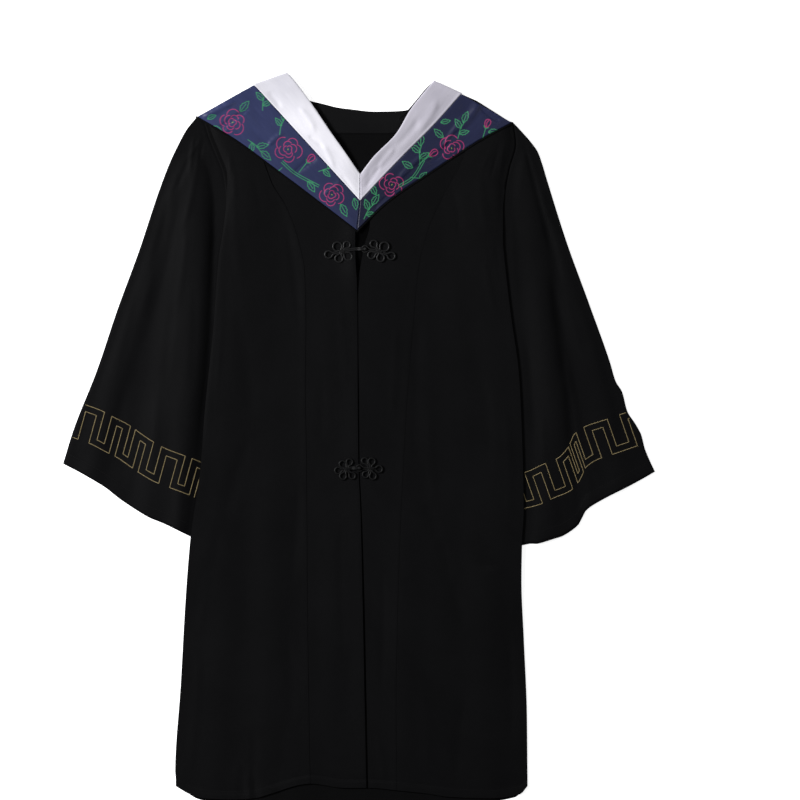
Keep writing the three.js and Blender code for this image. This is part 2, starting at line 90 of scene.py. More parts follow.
def halfWave(off):
    # 1 in the middle, and 0 a whole width off
    return 0.5 * (1 + np.cos(np.pi * np.clip(off, 0, 1)))


def onFold(path, y):
    # Place across and height of a fold at a level; beyond the ends of its path it has no height
    inside = (y <= path[0][0]) & (y >= path[-1][0])
    return along(path, y), np.where(inside, along(path, y, 2), 0)


def ridgeHeight(ridges, x, y):
    # The highest of several soft ridges; each is a half width and rows of level, place across, height
    height = np.zeros(np.shape(x))
    for ridge in ridges:
        crest, rise = onFold(ridge["path"], y)
        height = np.maximum(height, rise * halfWave(np.abs(x - crest) / ridge["halfWidth"]))
    return height


def steepHeight(folds, x, y, foot):
    # Folds that rise gently to a crest and drop at the foot beside them, in the same tables
    height = np.zeros(np.shape(x))
    for fold in folds:
        crest, rise = onFold(fold["path"], y)
        off = x - crest
        drop = 1 - np.clip(off / np.maximum(foot - crest, 8), 0, 1) ** 2.5
        height += rise * np.where(off < 0, halfWave(-off / fold["halfWidth"]), drop)
    return height


def creaseHeight(creases, x, y):
    # Sum of short creases: from, to, half width, height (below zero for a trough), bow sideways
    height = np.zeros(np.shape(x))
    for fromX, fromY, toX, toY, halfWidth, rise, bow in creases:
        dx, dy = toX - fromX, toY - fromY
        length = math.hypot(dx, dy)
        s = ((x - fromX) * dx + (y - fromY) * dy) / length**2
        off = ((x - fromX) * -dy + (y - fromY) * dx) / length - bow * 4 * s * (1 - s)
        width = halfWidth * (0.55 + 0.45 * np.sin(np.pi * np.clip(s, 0, 1)))  # narrower at both ends
        fading = ease(s, 0, 0.25) * ease(s, 1, -0.3)
        height += rise * fading * np.exp(-(off / width) ** 2 * 1.6)
    return height


def softNoise(x, y, scale, seed):
    # Smooth unevenness between -1 and 1, the same on every run
    rng = np.random.default_rng(seed)
    total = np.zeros(np.shape(x))
    for _ in range(7):
        angle, phase, pitch = rng.uniform(0, 2 * np.pi), rng.uniform(0, 2 * np.pi), rng.uniform(0.7, 1.5)
        total += np.sin((x * math.cos(angle) + y * math.sin(angle)) * 2 * np.pi / (scale * pitch) + phase)
    return total / 4


def lengthsAlong(line):
    # Distance of each point from the first, along the line
    return np.concatenate([[0], np.cumsum(np.linalg.norm(np.diff(line, axis=0), axis=1))])


def softLine(line, t):
    # Points at shares t of the way along a line, with its corners eased
    line = np.array(line, float)
    lengths = lengthsAlong(line)
    table = np.column_stack([lengths, line])
    return np.stack([along(table, t * lengths[-1], k) for k in range(1, table.shape[1])], axis=-1)


def between(first, second, share):
    # Points at shares of the way from each point of one line to the same point of another
    return first[:, None] + (second - first)[:, None] * share[..., None]


def normalsOf(points, columns=slice(None)):
    # Unit normals of a grid, turned so that they look up in the columns given
    normal = np.cross(np.gradient(points, axis=1), np.gradient(points, axis=0))
    length = np.linalg.norm(normal, axis=2, keepdims=True)
    normal = normal / np.where(length < 1e-9, 1, length)
    return -normal if normal[:, columns, 2].mean() < 0 else normal


def areaOf(points):
    a, b, c, d = points[:-1, :-1], points[:-1, 1:], points[1:, 1:], points[1:, :-1]
    halves = [np.linalg.norm(np.cross(p - a, q - a), axis=2) / 2 for p, q in ((b, c), (c, d))]
    return float((halves[0].sum() + halves[1].sum()) * mm * mm)


def addPiece(name, vertices, faces, material, uv=None):
    mesh = bpy.data.meshes.new(name)
    mesh.from_pydata(np.asarray(vertices).tolist(), [], [tuple(int(i) for i in f) for f in faces])
    if uv is not None:
        corners = np.empty(len(mesh.loops), dtype=np.int32)
        mesh.loops.foreach_get("vertex_index", corners)
        uvLayer = mesh.uv_layers.new(name="cloth")
        uvLayer.data.foreach_set("uv", np.asarray(uv)[corners].astype(np.float32).ravel())
    mesh.polygons.foreach_set("use_smooth", np.ones(len(mesh.polygons), dtype=bool))
    mesh.materials.append(material)
    mesh.update()
    return linkPiece(name, mesh)


def linkPiece(name, data):
    piece = bpy.data.objects.new(name, data)
    bpy.context.scene.collection.objects.link(piece)
    return piece


def paintEdgeShade(piece, material, loop, count):
    # The last faces, which are the narrow turned edge, get a near-black material as painted shade, and sharp
    # corners of their own
    mesh = piece.data
    mesh.materials.append(material)
    index = np.zeros(len(mesh.polygons), dtype=np.int32)
    index[-count:] = 1
    mesh.polygons.foreach_set("material_index", index)
    ends = np.empty(2 * len(mesh.edges), dtype=np.int32)
    mesh.edges.foreach_get("vertices", ends)
    creased = np.isin(ends.reshape(-1, 2), loop).all(axis=1)
    mesh.attributes.new("sharp_edge", "BOOLEAN", "EDGE").data.foreach_set("value", creased)


def clothShell(name, points, material, thickness=cloth["thickness"], normal=None, edgeShade=None):
    # A thin closed shell under a grid of points (rows, columns, xyz in mm), with rounded edges
    rows, columns, _ = points.shape
    normal = normalsOf(points) if normal is None else np.broadcast_to(normal, points.shape)
    thickness = np.broadcast_to(np.asarray(thickness, float), (rows, columns))[..., None]
    under = points - normal * thickness
    # the rim runs round the border, halfway down and pushed out
    border = ([(0, c) for c in range(columns)] + [(r, columns - 1) for r in range(1, rows)]
              + [(rows - 1, c) for c in range(columns - 2, -1, -1)]
              + [(r, 0) for r in range(rows - 2, 0, -1)])
    br, bc = np.array(border).T
    push = points[br, bc] - points[np.clip(br, 1, rows - 2), np.clip(bc, 1, columns - 2)]
    push -= normal[br, bc] * np.sum(push * normal[br, bc], axis=1, keepdims=True)
    reach = np.linalg.norm(push, axis=1, keepdims=True)
    push = push / np.where(reach < 1e-6, 1, reach) * thickness[br, bc] * cloth["edgeRound"]
    rim = (points[br, bc] + under[br, bc]) / 2 + push
    vertices = np.concatenate([points.reshape(-1, 3), under.reshape(-1, 3), rim]) * mm

    count = rows * columns
    index = np.arange(count).reshape(rows, columns)
    top = np.stack([index[:-1, :-1], index[1:, :-1], index[1:, 1:], index[:-1, 1:]], axis=-1).reshape(-1, 4)
    middle = top[len(top) // 2]
    a, b, c = points.reshape(-1, 3)[middle[:3]]
    if np.dot(np.cross(b - a, c - a), normal.reshape(-1, 3)[middle[0]]) < 0:
        top = top[:, ::-1]  # the top faces the way its normals point
    bottom = top[:, ::-1] + count
    loop = index[br, bc]
    rimLoop = 2 * count + np.arange(len(loop))
    after, rimAfter = np.roll(loop, -1), np.roll(rimLoop, -1)
    sides = np.concatenate([np.stack([loop, after, rimAfter, rimLoop], axis=-1),
                            np.stack([rimLoop, rimAfter, after + count, loop + count], axis=-1)])
    edges = {(int(f[i]), int(f[(i + 1) % 4])) for f in top[: columns * 2] for i in range(4)}
    if (int(loop[0]), int(loop[1])) in edges:
        sides = sides[:, ::-1]

    u = np.cumsum(np.linalg.norm(np.diff(points, axis=1, prepend=points[:, :1]), axis=2), axis=1)
    v = np.cumsum(np.linalg.norm(np.diff(points, axis=0, prepend=points[:1]), axis=2), axis=0)
    flat = np.stack([u, v], axis=-1).reshape(-1, 2) * mm
    uv = np.concatenate([flat, flat, flat[loop]])
    piece = addPiece(name, vertices, np.concatenate([top, bottom, sides]), material, uv)
    # the rim faces take the near-black material given, as painted shade on the turned edges
    if edgeShade:
        paintEdgeShade(piece, edgeShade, loop, len(sides))
    piece["area"] = areaOf(points)
    piece["span"] = [float(u[:, -1].max() * mm), float(v[-1].max() * mm)]
    return piece


def putOn(piece, nodes):
    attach(piece, "root")
    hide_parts(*nodes)


def makeSheet(piece, nodes):
    putOn(piece, nodes)


# Materials

def newMaterial(name):
    material = bpy.data.materials.new(name)
    material.use_nodes = True
    tree = material.node_tree
    tree.nodes.clear()
    output = tree.nodes.new("ShaderNodeOutputMaterial")
    shader = tree.nodes.new("ShaderNodeBsdfPrincipled")
    tree.links.new(shader.outputs[0], output.inputs[0])
    return material, tree, shader


def setInputs(tree, node, **inputs):
    # A name has _ for each space, and i6 is the input of that number; outputs are linked, values are set
    for key, value in inputs.items():
        byNumber = key[0] == "i" and key[1:].isdigit()
        socket = node.inputs[int(key[1:]) if byNumber else key.replace("_", " ")]
        if hasattr(value, "is_output"):
            tree.links.new(value, socket)
        else:
            socket.default_value = value


def addNode(tree, kind, settings=None, **inputs):
    node = tree.nodes.new(kind)
    for key, value in (settings or {}).items():
        setattr(node, key, value)
    setInputs(tree, node, **inputs)
    return node


def addNoise(tree, vector, scale, detail, roughness=0.5):
    sizes = {"Scale": scale, "Detail": detail, "Roughness": roughness}
    return addNode(tree, "ShaderNodeTexNoise", Vector=vector, **sizes).outputs["Fac"]


def addMath(tree, operation, *values):
    inputs = {f"i{i}": value for i, value in enumerate(values)}
    return addNode(tree, "ShaderNodeMath", {"operation": operation}, **inputs).outputs[0]


def addMix(tree, factor, first, second, blend="MIX"):
    # Two colours in one; each is three numbers or an output
    first, second = [c if hasattr(c, "is_output") else (*c, 1) for c in (first, second)]
    settings = {"data_type": "RGBA", "blend_type": blend}
    return addNode(tree, "ShaderNodeMix", settings, i0=factor, i6=first, i7=second).outputs[2]


def addRamp(tree, factor, *stops):
    ramp = addNode(tree, "ShaderNodeValToRGB", Fac=factor)
    for element, (position, colour) in zip(ramp.color_ramp.elements, stops):
        element.position, element.color = position, (*colour, 1)
    return ramp.outputs[0]


def addRange(tree, value, settings=None, **limits):
    return addNode(tree, "ShaderNodeMapRange", settings, Value=value, **limits).outputs[0]


def addBump(tree, height, strength, distance, **under):
    node = addNode(tree, "ShaderNodeBump", Height=height, Strength=strength, Distance=distance, **under)
    return node.outputs[0]


def weave(tree, uv, pitch):
    # Bump height of crossing threads; pitch is threads per metre
    bandsPerScale = 3.1415  # of the wave texture, nearly
    warp, weft = [addNode(tree, "ShaderNodeTexWave", {"bands_direction": way}, Vector=uv,
                          Scale=pitch / bandsPerScale, Distortion=0.4, Detail=1.0) for way in "XY"]
    return addMath(tree, "ADD", warp.outputs["Fac"], weft.outputs["Fac"])


def clothMaterial(name, dark, light, roughness, specular, pitch):
    material, tree, shader = newMaterial(name)
    uv = addNode(tree, "ShaderNodeUVMap", {"uv_map": "cloth"}).outputs[0]
    patches = addNoise(tree, uv, 9.0, 3.0, 0.55)
    lint = addMath(tree, "MULTIPLY", addNoise(tree, uv, 420.0, 2.0, 0.6), 0.35)
    mixed = addMath(tree, "MULTIPLY_ADD", patches, 0.65, lint)
    setInputs(tree, shader, Specular_IOR_Level=specular,
              Base_Color=addRamp(tree, mixed, (0.3, dark), (0.72, light)),
              Roughness=addRange(tree, patches, To_Min=roughness - 0.04, To_Max=roughness + 0.05),
              Normal=addBump(tree, weave(tree, uv, pitch), 0.25, 0.0002))
    return material


def satinMaterial(name, colour, dipShade, roughness, specular, wrinkle, shoulderShade=None):
    # Colour is three numbers or an attribute's name; then the colour of the painted shade in the dips of the
    # wrinkles, and of the painted shade towards the shoulder
    material, tree, shader = newMaterial(name)
    uv = addNode(tree, "ShaderNodeUVMap", {"uv_map": "cloth"}).outputs[0]
    dips = addNode(tree, "ShaderNodeMapping", Vector=uv, Scale=(1.0, 0.35, 1.0))
    soft = addNoise(tree, dips.outputs[0], 26.0, 3.0)
    floats = addNode(tree, "ShaderNodeMapping", Vector=uv, Scale=(1.0, 0.06, 1.0))
    threads = addNoise(tree, floats.outputs[0], 2600.0, 2.0)  # they float down the band
    # painted shade: the colour darkens in the dips of the same noise that bumps the wrinkles
    dipShadeShare = addRange(tree, soft, From_Min=0.3, From_Max=0.7)
    if isinstance(colour, str):
        printed = addNode(tree, "ShaderNodeAttribute", {"attribute_name": colour}).outputs["Color"]
        finished = addMix(tree, 0.7, printed, addRamp(tree, dipShadeShare, (0, dipShade), (1, (1, 1, 1))), "MULTIPLY")
    else:
        finished = addMix(tree, dipShadeShare, dipShade, colour)
    # painted shade: darker towards the shoulder, over the first 10 cm
    if shoulderShade:  # duller towards the shoulder, over the first 10 cm
        down = addNode(tree, "ShaderNodeSeparateXYZ", i0=uv).outputs["Y"]
        near = addRange(tree, down, {"interpolation_type": "SMOOTHSTEP"}, From_Max=0.10, To_Min=1.0,
                        To_Max=0.0)
        finished = addMix(tree, near, finished, shoulderShade, "MULTIPLY")
    crumpled = addBump(tree, soft, wrinkle, 0.004)
    setInputs(tree, shader, Base_Color=finished, Specular_IOR_Level=specular,
              Roughness=addRange(tree, threads, To_Min=roughness - 0.05, To_Max=roughness + 0.08),
              Normal=addBump(tree, threads, 0.12, 0.0002, Normal=crumpled))
    return material


def threadMaterial(name, colour, threadDipShade, roughness, specular, metallic, twist):
    material, tree, shader = newMaterial(name)
    place = addNode(tree, "ShaderNodeTexCoord").outputs["Object"]
    noise = addNoise(tree, place, twist, 2.0)
    # painted shade: the colour darkens in the dips of the same noise that bumps the twist
    setInputs(tree, shader, Base_Color=addMix(tree, noise, threadDipShade, colour), Roughness=roughness,
              Metallic=metallic, Specular_IOR_Level=specular, Normal=addBump(tree, noise, 0.3, 0.0003))
    return material


clothFinishes = {  # dark and light, roughness, specular, threads per metre
    "blackCloth": ((0.0016, 0.0016, 0.0019), (0.0030, 0.0030, 0.00345), 0.6, 0.05, 1500),
    "facingCloth": ((0.0024, 0.0024, 0.0028), (0.0038, 0.0038, 0.0043), 0.55, 0.06, 1500),
    # painted shade: near-black cloth for turned edges and for the opening below the collar
    "paintedShadeCloth": ((0.0006, 0.0006, 0.0007), (0.0010, 0.0010, 0.0011), 0.7, 0.02, 1500),
    # painted shade: a darker copy of the black cloth for the inside of the back
    "shadedInsideCloth": ((0.0015, 0.0015, 0.0017), (0.0024, 0.0024, 0.0027), 0.65, 0.04, 1500),
    "bindingSatin": ((0.0010, 0.0010, 0.0012), (0.0018, 0.0018, 0.0021), 0.6, 0.05, 2200),
}
# The right white band takes a darker copy of the white satin: painted shade, as less light falls on it
# the tone of the dips is painted shade in the wrinkles, the tone of the shoulder painted shade there
satinFinishes = {  # colour, tone of the dips, roughness, specular, wrinkles, tone of the shoulder
    "whiteSatin": ((0.76, 0.75, 0.80), (0.66, 0.65, 0.715), 0.45, 0.3, 0.5, (0.80, 0.80, 0.81)),
    "whiteSatinShaded": ((0.55, 0.53, 0.60), (0.45, 0.43, 0.50), 0.45, 0.2, 0.4),
    "navySatin": ("printWithPaintedLight", (0.62, 0.64, 0.72), 0.42, 0.2, 1.1),
}
# the depth of each colour is painted shade in the dips of the twist
threadFinishes = {  # colour, depth of it, roughness, specular, metallic, size of its twist
    "cordSatin": ((0.0090, 0.0090, 0.0095), (0.0036, 0.0036, 0.0040), 0.45, 0.18, 0.0, 900.0),
    "cordDull": ((0.0048, 0.0048, 0.0051), (0.0022, 0.0022, 0.0024), 0.5, 0.12, 0.0, 900.0),
    "goldThread": ((0.30, 0.235, 0.110), (0.14, 0.105, 0.045), 0.42, 0.5, 0.25, 1400.0),
    "blackThread": ((0.0042, 0.0042, 0.0046), (0.0022, 0.0022, 0.0025), 0.55, 0.15, 0.0, 900.0),
}
finishes = {}
tables = ((clothMaterial, clothFinishes), (satinMaterial, satinFinishes), (threadMaterial, threadFinishes))
for makeMaterial, table in tables:
    for name, values in table.items():
        finishes[name] = makeMaterial(name, *values)
print("materials made")


# The body: edges and rows, the same as the solids'

bodyEdges = {  # level, place across
    "leftSide": [[523, -254], [497, -246], [467, -234], [430, -221], [393, -218], [343, -223],
                 [297, -230], [180, -239], [54, -252], [-57, -261], [-152, -275], [-262, -284],
                 [-402, -292], [-544, -301], [-570, -300]],
    "leftPrincess": [[572, -190], [492, -167], [421, -143], [384, -120], [330, -100], [275, -89],
                     [190, -87], [82, -88], [-34, -86], [-305, -84], [-565, -80]],
    "leftFront": [[597, -120], [556, -82], [498, -43], [472, -23], [433, 1], [369, -3], [336, -6],
                  [230, -5], [66, -3], [-33, -2], [-131, 2], [-262, 5], [-410, 8], [-570, 11]],
    "rightFront": [[587, 123], [541, 85], [502, 61], [462, 23], [433, 4], [385, 13], [351, 20], [311, 11],
                   [254, 2], [66, 1], [-33, 2], [-131, 6], [-262, 10], [-410, 13], [-570, 16]],
    "rightPrincess": [[556, 192], [492, 179], [451, 166], [400, 138], [338, 111], [275, 97], [190, 89],
                      [66, 79], [-98, 70], [-262, 64], [-426, 61], [-570, 62]],
    "rightSide": [[518, 252], [485, 256], [446, 246], [410, 239], [374, 236], [328, 236], [292, 239],
                  [205, 249], [111, 262], [16, 267], [-49, 269], [-118, 270], [-169, 267], [-230, 266],
                  [-328, 270], [-451, 275], [-570, 276]],
}
edgeTops = {name: rows[0][0] for name, rows in bodyEdges.items()}
body = {  # levels, from the neck down
    "neck": 600.0, "notch": 433.0, "ease": 300.0,  # neck, foot of the V, and where edges start to ease
    "facing": 502.0,                               # the facing's seam
    "lowestRaised": -178.0, "raisedEnd": -330.0,   # where the body comes down from the sleeves
    "hemStart": -540.0, "longRows": -560.0, "lowest": -590.0,  # the last rows run down to the hem
    "fold": 0.2,                                   # share of the solids' large folds that shows
}
# share of the way across, drop of the back neck
neckDrops = [[0, 0], [0.08, 27], [0.156, 39], [0.25, 43.5], [0.36, 49], [0.46, 51], [0.57, 53],
             [0.675, 52], [0.78, 50], [0.84, 47], [0.893, 30], [0.946, 13],
             [1, 0]]
frontHem = [[-300, -567], [-277, -580], [-252, -587], [-208, -589], [-172, -587], [-146, -580],
            [-97, -565], [-80, -563], [-23, -570], [16, -570], [62, -574], [116, -580], [149, -585],
            [215, -587], [264, -580], [276, -567]]
backHem = [[-297, -566], [-261, -589], [-211, -596], [-97, -600], [67, -600], [198, -594], [256, -585],
           [274, -567]]
knots = {"Top": (10, 313), "Low": (1, -46)}  # where the closures fasten, x and y

bodyRidges = [
    {"halfWidth": 44, "path": [[330, -150, 0], [230, -154, 2.5], [-18, -149, 4], [-200, -146, 6],
                               [-352, -143, 5], [-545, -158, 3.5], [-600, -160, 3.5]]},
    {"halfWidth": 40, "path": [[-215, -214, 0], [-300, -222, 4.5], [-450, -234, 5], [-600, -232, 4]]},
    {"halfWidth": 34, "path": [[260, -52, 0], [150, -50, 3.5], [40, -46, 0]]},
    {"halfWidth": 34, "path": [[-110, -44, 0], [-230, -40, 3.5], [-400, -42, 3], [-500, -50, 0]]},
    {"halfWidth": 46, "path": [[-440, -98, 0], [-520, -98, 4], [-600, -98, 7]]},
    {"halfWidth": 40, "path": [[-90, 72, 0], [-180, 74, 4.5], [-400, 72, 5.5], [-600, 74, 4]]},
    {"halfWidth": 46, "path": [[340, 150, 0], [220, 160, 4.5], [60, 172, 5], [-60, 176, 2],
                               [-120, 178, 0]]},
    {"halfWidth": 48, "path": [[0, 196, 0], [-120, 204, 3], [-260, 206, 6], [-410, 214, 5],
                               [-600, 206, 3]]},
]

# Short creases of the fronts: from x, y, to x, y, half width, height, bow
frontCreases = [
    (-202, 230, -176, 20, 16, -0.9, 4), (-176, 10, -222, -150, 15, -1.0, -5),
    (-226, -130, -268, -300, 16, -0.9, 3), (-228, 300, -236, 60, 9, 0.9, 2),
    (-120, 360, -98, 180, 9, -0.7, 3), (-206, 400, -190, 250, 12, 0.7, -4),
    (-172, -470, -174, -560, 7, -0.8, 2), (-196, -520, -204, -600, 10, 0.8, -2),
    (-120, -300, -112, -480, 13, -0.7, 4), (-60, 120, -70, -120, 10, -0.6, 3),
    (-30, -120, -24, -360, 9, -0.6, -2), (-34, 240, -22, 80, 10, 0.6, 3), (100, 230, 96, -60, 14, -0.9, -4),
    (108, -100, 132, -170, 13, -0.9, 2), (130, -160, 152, -232, 12, -0.9, 2),
    (150, -225, 172, -320, 12, -0.8, 2), (222, 330, 240, 240, 7, -1.0, 2), (206, 300, 226, 200, 8, 0.7, -3),
    (200, 120, 214, -60, 12, -0.7, 4), (240, 60, 246, -140, 10, 0.7, 3), (116, 60, 124, -120, 10, 0.6, -3),
    (60, 200, 52, 20, 9, 0.6, 2), (40, -200, 36, -430, 9, -0.6, 2), (100, -380, 112, -570, 14, 0.8, 4),
    (176, -400, 160, -580, 12, -0.8, -4), (244, -300, 250, -520, 10, -0.7, 3),
    (28, -480, 40, -575, 10, 0.7, 3), (-262, -330, -280, -560, 10, 0.7, 3),
    (-246, -210, -262, -330, 11, 0.7, -2), (-100, -60, -112, -250, 11, -0.7, 3),
    (150, 420, 166, 330, 9, -0.6, 3), (196, 440, 214, 330, 10, 0.6, -3),
    (-180, 470, -160, 360, 10, -0.6, 3), (-216, 480, -204, 380, 8, 0.7, 2), (-60, 390, -42, 330, 8, 0.5, 0),
    (60, 370, 92, 290, 10, 0.5, 3), (-208, 482, -217, 380, 4.0, 0.9, -1), (-246, 506, -232, 420, 5, 0.9, 2),
    (-238, 500, -216, 430, 4, -0.4, 2), (-230, 504, -200, 440, 5, 0.4, -2),
    (-222, 496, -184, 452, 4, -0.6, 0), (240, 498, 232, 420, 5, 0.9, -2), (230, 500, 214, 424, 4, -0.9, 2),
    (222, 494, 196, 436, 5, 0.8, 2), (-182, -540, -180, -600, 5, 1.8, 1),
    (-174, -540, -170, -600, 5, -3.0, 0), (-166, -560, -130, -578, 5, 0.9, 0),
]

# Below the collar the two front edges close up; each row of closes is a level and how far
opening = {
    "closes": [[300, 0], [285, 1.5], [275, 3.1], [265, 4.8], [255, 5.3], [230, 4.7], [200, 3.1],
               [150, 2.1], [66, 0]],
    "share": {"leftFront": 0.4, "rightFront": 0.6},  # of it that each edge takes
    "meets": 1.1, "meetsBelow": 260,                 # both edges, from there down to the hem
    "hollow": 4.5, "hollowLevel": 318,               # the right edge beside the upper closure
    "shoulder": 1.9, "shoulderLevel": 492,           # the right edge under the white band
    "lift": 1.3, "kink": 2.4, "kinkLevel": 230,      # the left edge stands up, most below the collar
    "rightLift": -0.25, "liftWidth": 20, "liftTop": 385,  # the right one lies lower
    "held": 0.75, "heldLevels": (311, -47),          # the closures hold both edges down
}


def edgePoint(name, level):
    level = np.asarray(level, float)
    start = body["notch"] if name.endswith("Front") else body["ease"]
    y = level - (body["neck"] - edgeTops[name]) * np.clip((level - start) / (body["neck"] - start), 0, 1)
    x = along(bodyEdges[name], y)
    if name == "rightFront":
        x = x - opening["hollow"] * bell(y - opening["hollowLevel"], 42)
        x = x - opening["shoulder"] * ease(y, opening["shoulderLevel"], 20)
    if name.endswith("Front"):
        closed = opening["meets"] * ease(y, opening["meetsBelow"], -60)
        closed = closed + opening["share"][name] * along(opening["closes"], y)
        x = x + (closed if name == "leftFront" else -closed)
    return np.stack([x, y], axis=-1)


def raisedOver(fromSide, level):
    # Share of the full height that the body has over a tucked sleeve
    return (1 - smooth((fromSide - cloth["tuck"]) / cloth["tuckSlope"])) * smooth(
        (level - body["raisedEnd"]) / (body["lowestRaised"] - body["raisedEnd"]))


lyingFlat = {  # the fronts have no folds under the collar, this far round a closure and beside the sleeves
    "collarLevel": 338, "collarSlope": 0.72, "collarOver": 60,
    "closureWidth": 62, "closureHeight": 30, "sleeveGap": 26.0, "edgeGap": 6.0,
}


def bodyFold(x, y):
    # Height of the large folds, and the share that small ones may have
    edge = np.minimum(x - along(bodyEdges["leftSide"], y), along(bodyEdges["rightSide"], y) - x)
    flat = lyingFlat
    inner = np.where(y > body["lowestRaised"] - 30, cloth["tuck"] + flat["sleeveGap"], flat["edgeGap"])
    collar = ease(y, flat["collarLevel"] + np.abs(x) * flat["collarSlope"], -flat["collarOver"])
    closures = [np.maximum(ease(np.abs(x - knotX), flat["closureWidth"], 24),
                           ease(np.abs(y - knotY), flat["closureHeight"], 40))
                for knotX, knotY in knots.values()]
    share = collar * np.minimum(*closures)
    return ridgeHeight(bodyRidges, x, y) * smooth((edge - inner) / 40) * share, share * ease(edge, 4, 14)


levels = np.unique(np.concatenate([
    np.linspace(body["neck"], body["notch"], 34), np.linspace(body["notch"], body["longRows"], 190),
    np.linspace(body["longRows"], body["lowest"], 8)]))[::-1]
front = {
    "creases": 0.62, "uneven": 0.25, "deepest": -0.7,  # how much of the creases shows, and unevenness in mm
    "finer": 0.10,                                     # columns crowd beside the seams
    "seamStands": {"leftPrincess": 0.45, "rightPrincess": 0.2}, "standWidth": 8.0,  # turned edges
    "groove": 0.1, "grooveWidth": 1.0, "seamTop": 390,  # above which the seams lie flat
    "armhole": [(1.9, 330, 90), (0.85, 395, 55)],      # drop of its edge: how much, from which level, over
    "armholeWidth": 7.0, "shoulderWidth": 5.0,
    "lip": 0.55, "lipWidth": 2.2, "lipFrom": -20, "lipTo": 380,  # of the left armhole
    "facingReach": 20, "facingTop": 470,               # the fronts lie over the facing near the neck
    "hemStands": 0.45, "hemDent": 0.35, "hemDentWidth": 1.6,     # the cloth is double over the hem
}


def edgeHeight(name, off, y, level):
    # What an edge adds to a front's height, from the distance to it
    height = np.zeros(off.shape)
    if name.endswith("Front"):
        height += layer * (1 - ease(off, front["facingReach"], 16)) * ease(level, front["facingTop"], 28)
        held = np.maximum(*[bell(y - cordLevel, 16) for cordLevel in opening["heldLevels"]])
        lift = opening["rightLift"]
        if name == "leftFront":
            lift = opening["lift"] * (1 + opening["kink"] * ease(y, opening["kinkLevel"], 60))
        reach = ease(y, opening["liftTop"], -30) * ease(y, body["lowest"], 60)
        wave = reach * (0.75 + 0.25 * np.sin(y / 37))
        height += lift * (1 - opening["held"] * held) * wave * bell(off, opening["liftWidth"])
    if name.endswith("Side"):  # the sewn armhole comes down to the sleeve
        down = sum(drop * ease(y, start, over) for drop, start, over in front["armhole"])
        height -= down * bell(off, front["armholeWidth"] + front["shoulderWidth"] * ease(y, 380, 60))
    if name == "leftSide":
        lip = front["lip"] * ease(y, front["lipFrom"], 60) * (1 - ease(y, front["lipTo"], 40))
        height -= lip * bell(off, front["lipWidth"])
    return height


def bodyGrid(firstEdge, secondEdge, columns, hem, which):
    # Points of a panel between two edges; which is front or back
    first, second = edgePoint(firstEdge, levels), edgePoint(secondEdge, levels)
    share = np.linspace(0, 1, columns)
    if which == "front":
        share = share - front["finer"] * np.sin(2 * np.pi * share) / (2 * np.pi)
    place = between(first, second, share)
    x, y, level = place[..., 0], place[..., 1], levels[:, None]
    hemShare = np.clip((body["hemStart"] - level) / (body["hemStart"] - body["lowest"]), 0, 1)
    y = y + hemShare * (along(hem, x) - body["lowest"])
    width = np.linalg.norm(second - first, axis=1)[:, None]
    edges = {firstEdge: share * width, secondEdge: (1 - share) * width}
    raised = np.zeros(x.shape)
    for name, off in edges.items():
        if name.endswith("Side"):
            raised += raisedOver(off, level)
    fold, free = bodyFold(x, y)
    fold = fold * body["fold"]
    if which == "back":
        return np.stack([x, y, cloth["thickness"] + 2 * layer * raised + 0.5 * fold], axis=-1)
    z = layer + cloth["wall"] + 2 * layer * raised + fold
    small = front["creases"] * creaseHeight(frontCreases, x, y) + front["uneven"] * softNoise(x, y, 130, 3)
    z += np.maximum(small, front["deepest"]) * free
    stand = front["seamStands"].get(secondEdge, 0.0)
    seam = stand * bell(edges[secondEdge], front["standWidth"])
    seam = seam - front["groove"] * bell(edges[secondEdge], front["grooveWidth"])
    z += (1 - ease(y, front["seamTop"], 50)) * seam
    for name, off in edges.items():
        z += edgeHeight(name, off, y, level)
    above = y - along(hem, x)
    z += front["hemStands"] * ease(above, cloth["hemDepth"], -cloth["hemStep"])
    z -= front["hemDent"] * bell(above - cloth["hemDepth"], front["hemDentWidth"])
    return np.stack([x, y, z], axis=-1)


def insetEdges(points, inset):
    # Half of a seam's gap off both edges
    for edge, inner in ((0, 1), (-1, -2)):
        across = points[:, inner] - points[:, edge]
        points[:, edge] += across / np.linalg.norm(across, axis=1, keepdims=True) * inset
    return points


panels = {  # first and second edge, columns of the front and of the back
    "LeftSide": ("leftSide", "leftPrincess", 50, 34),
    "LeftCentre": ("leftPrincess", "leftFront", 28, 18),
    "RightCentre": ("rightFront", "rightPrincess", 28, 18),
    "RightSide": ("rightPrincess", "rightSide", 50, 34),
}
seam = {
    "halfGap": 0.15, "shoulderGap": 0.03, "narrowsFrom": 405,  # half the gap at a seam, closer by the shoulder
    "pressed": 0.5, "pressedFrom": 385,                        # how much thinner the cloth is there
}
narrowing = ease(levels[:, None], seam["narrowsFrom"], 45)
halfGap = seam["halfGap"] + (seam["shoulderGap"] - seam["halfGap"]) * narrowing
frontPieces = {}
frontGrids = {}
for panel, (firstEdge, secondEdge, columns, _) in panels.items():
    points = insetEdges(bodyGrid(firstEdge, secondEdge, columns, frontHem, "front"), halfGap)
    thickness = cloth["thickness"]
    if panel.endswith("Side"):  # pressed thin where the seam runs up to the shoulder
        sewn = points[:, :1] if firstEdge == "leftSide" else points[:, -1:]
        off = np.linalg.norm((points - sewn)[..., :2], axis=-1)
        pressed = ease(points[..., 1], seam["pressedFrom"], 60) * bell(off, 10.0)
        thickness = thickness - seam["pressed"] * pressed
    # the turned edges of the fronts are painted in shade
    piece = clothShell(f"front{panel}", points, finishes["blackCloth"], thickness,
                       edgeShade=finishes["paintedShadeCloth"])
    node = "front_" + panel.replace("Left", "left_").replace("Right", "right_").lower()
    makeSheet(piece, [node])
    frontPieces[panel], frontGrids[panel] = piece, points
print("fronts made")

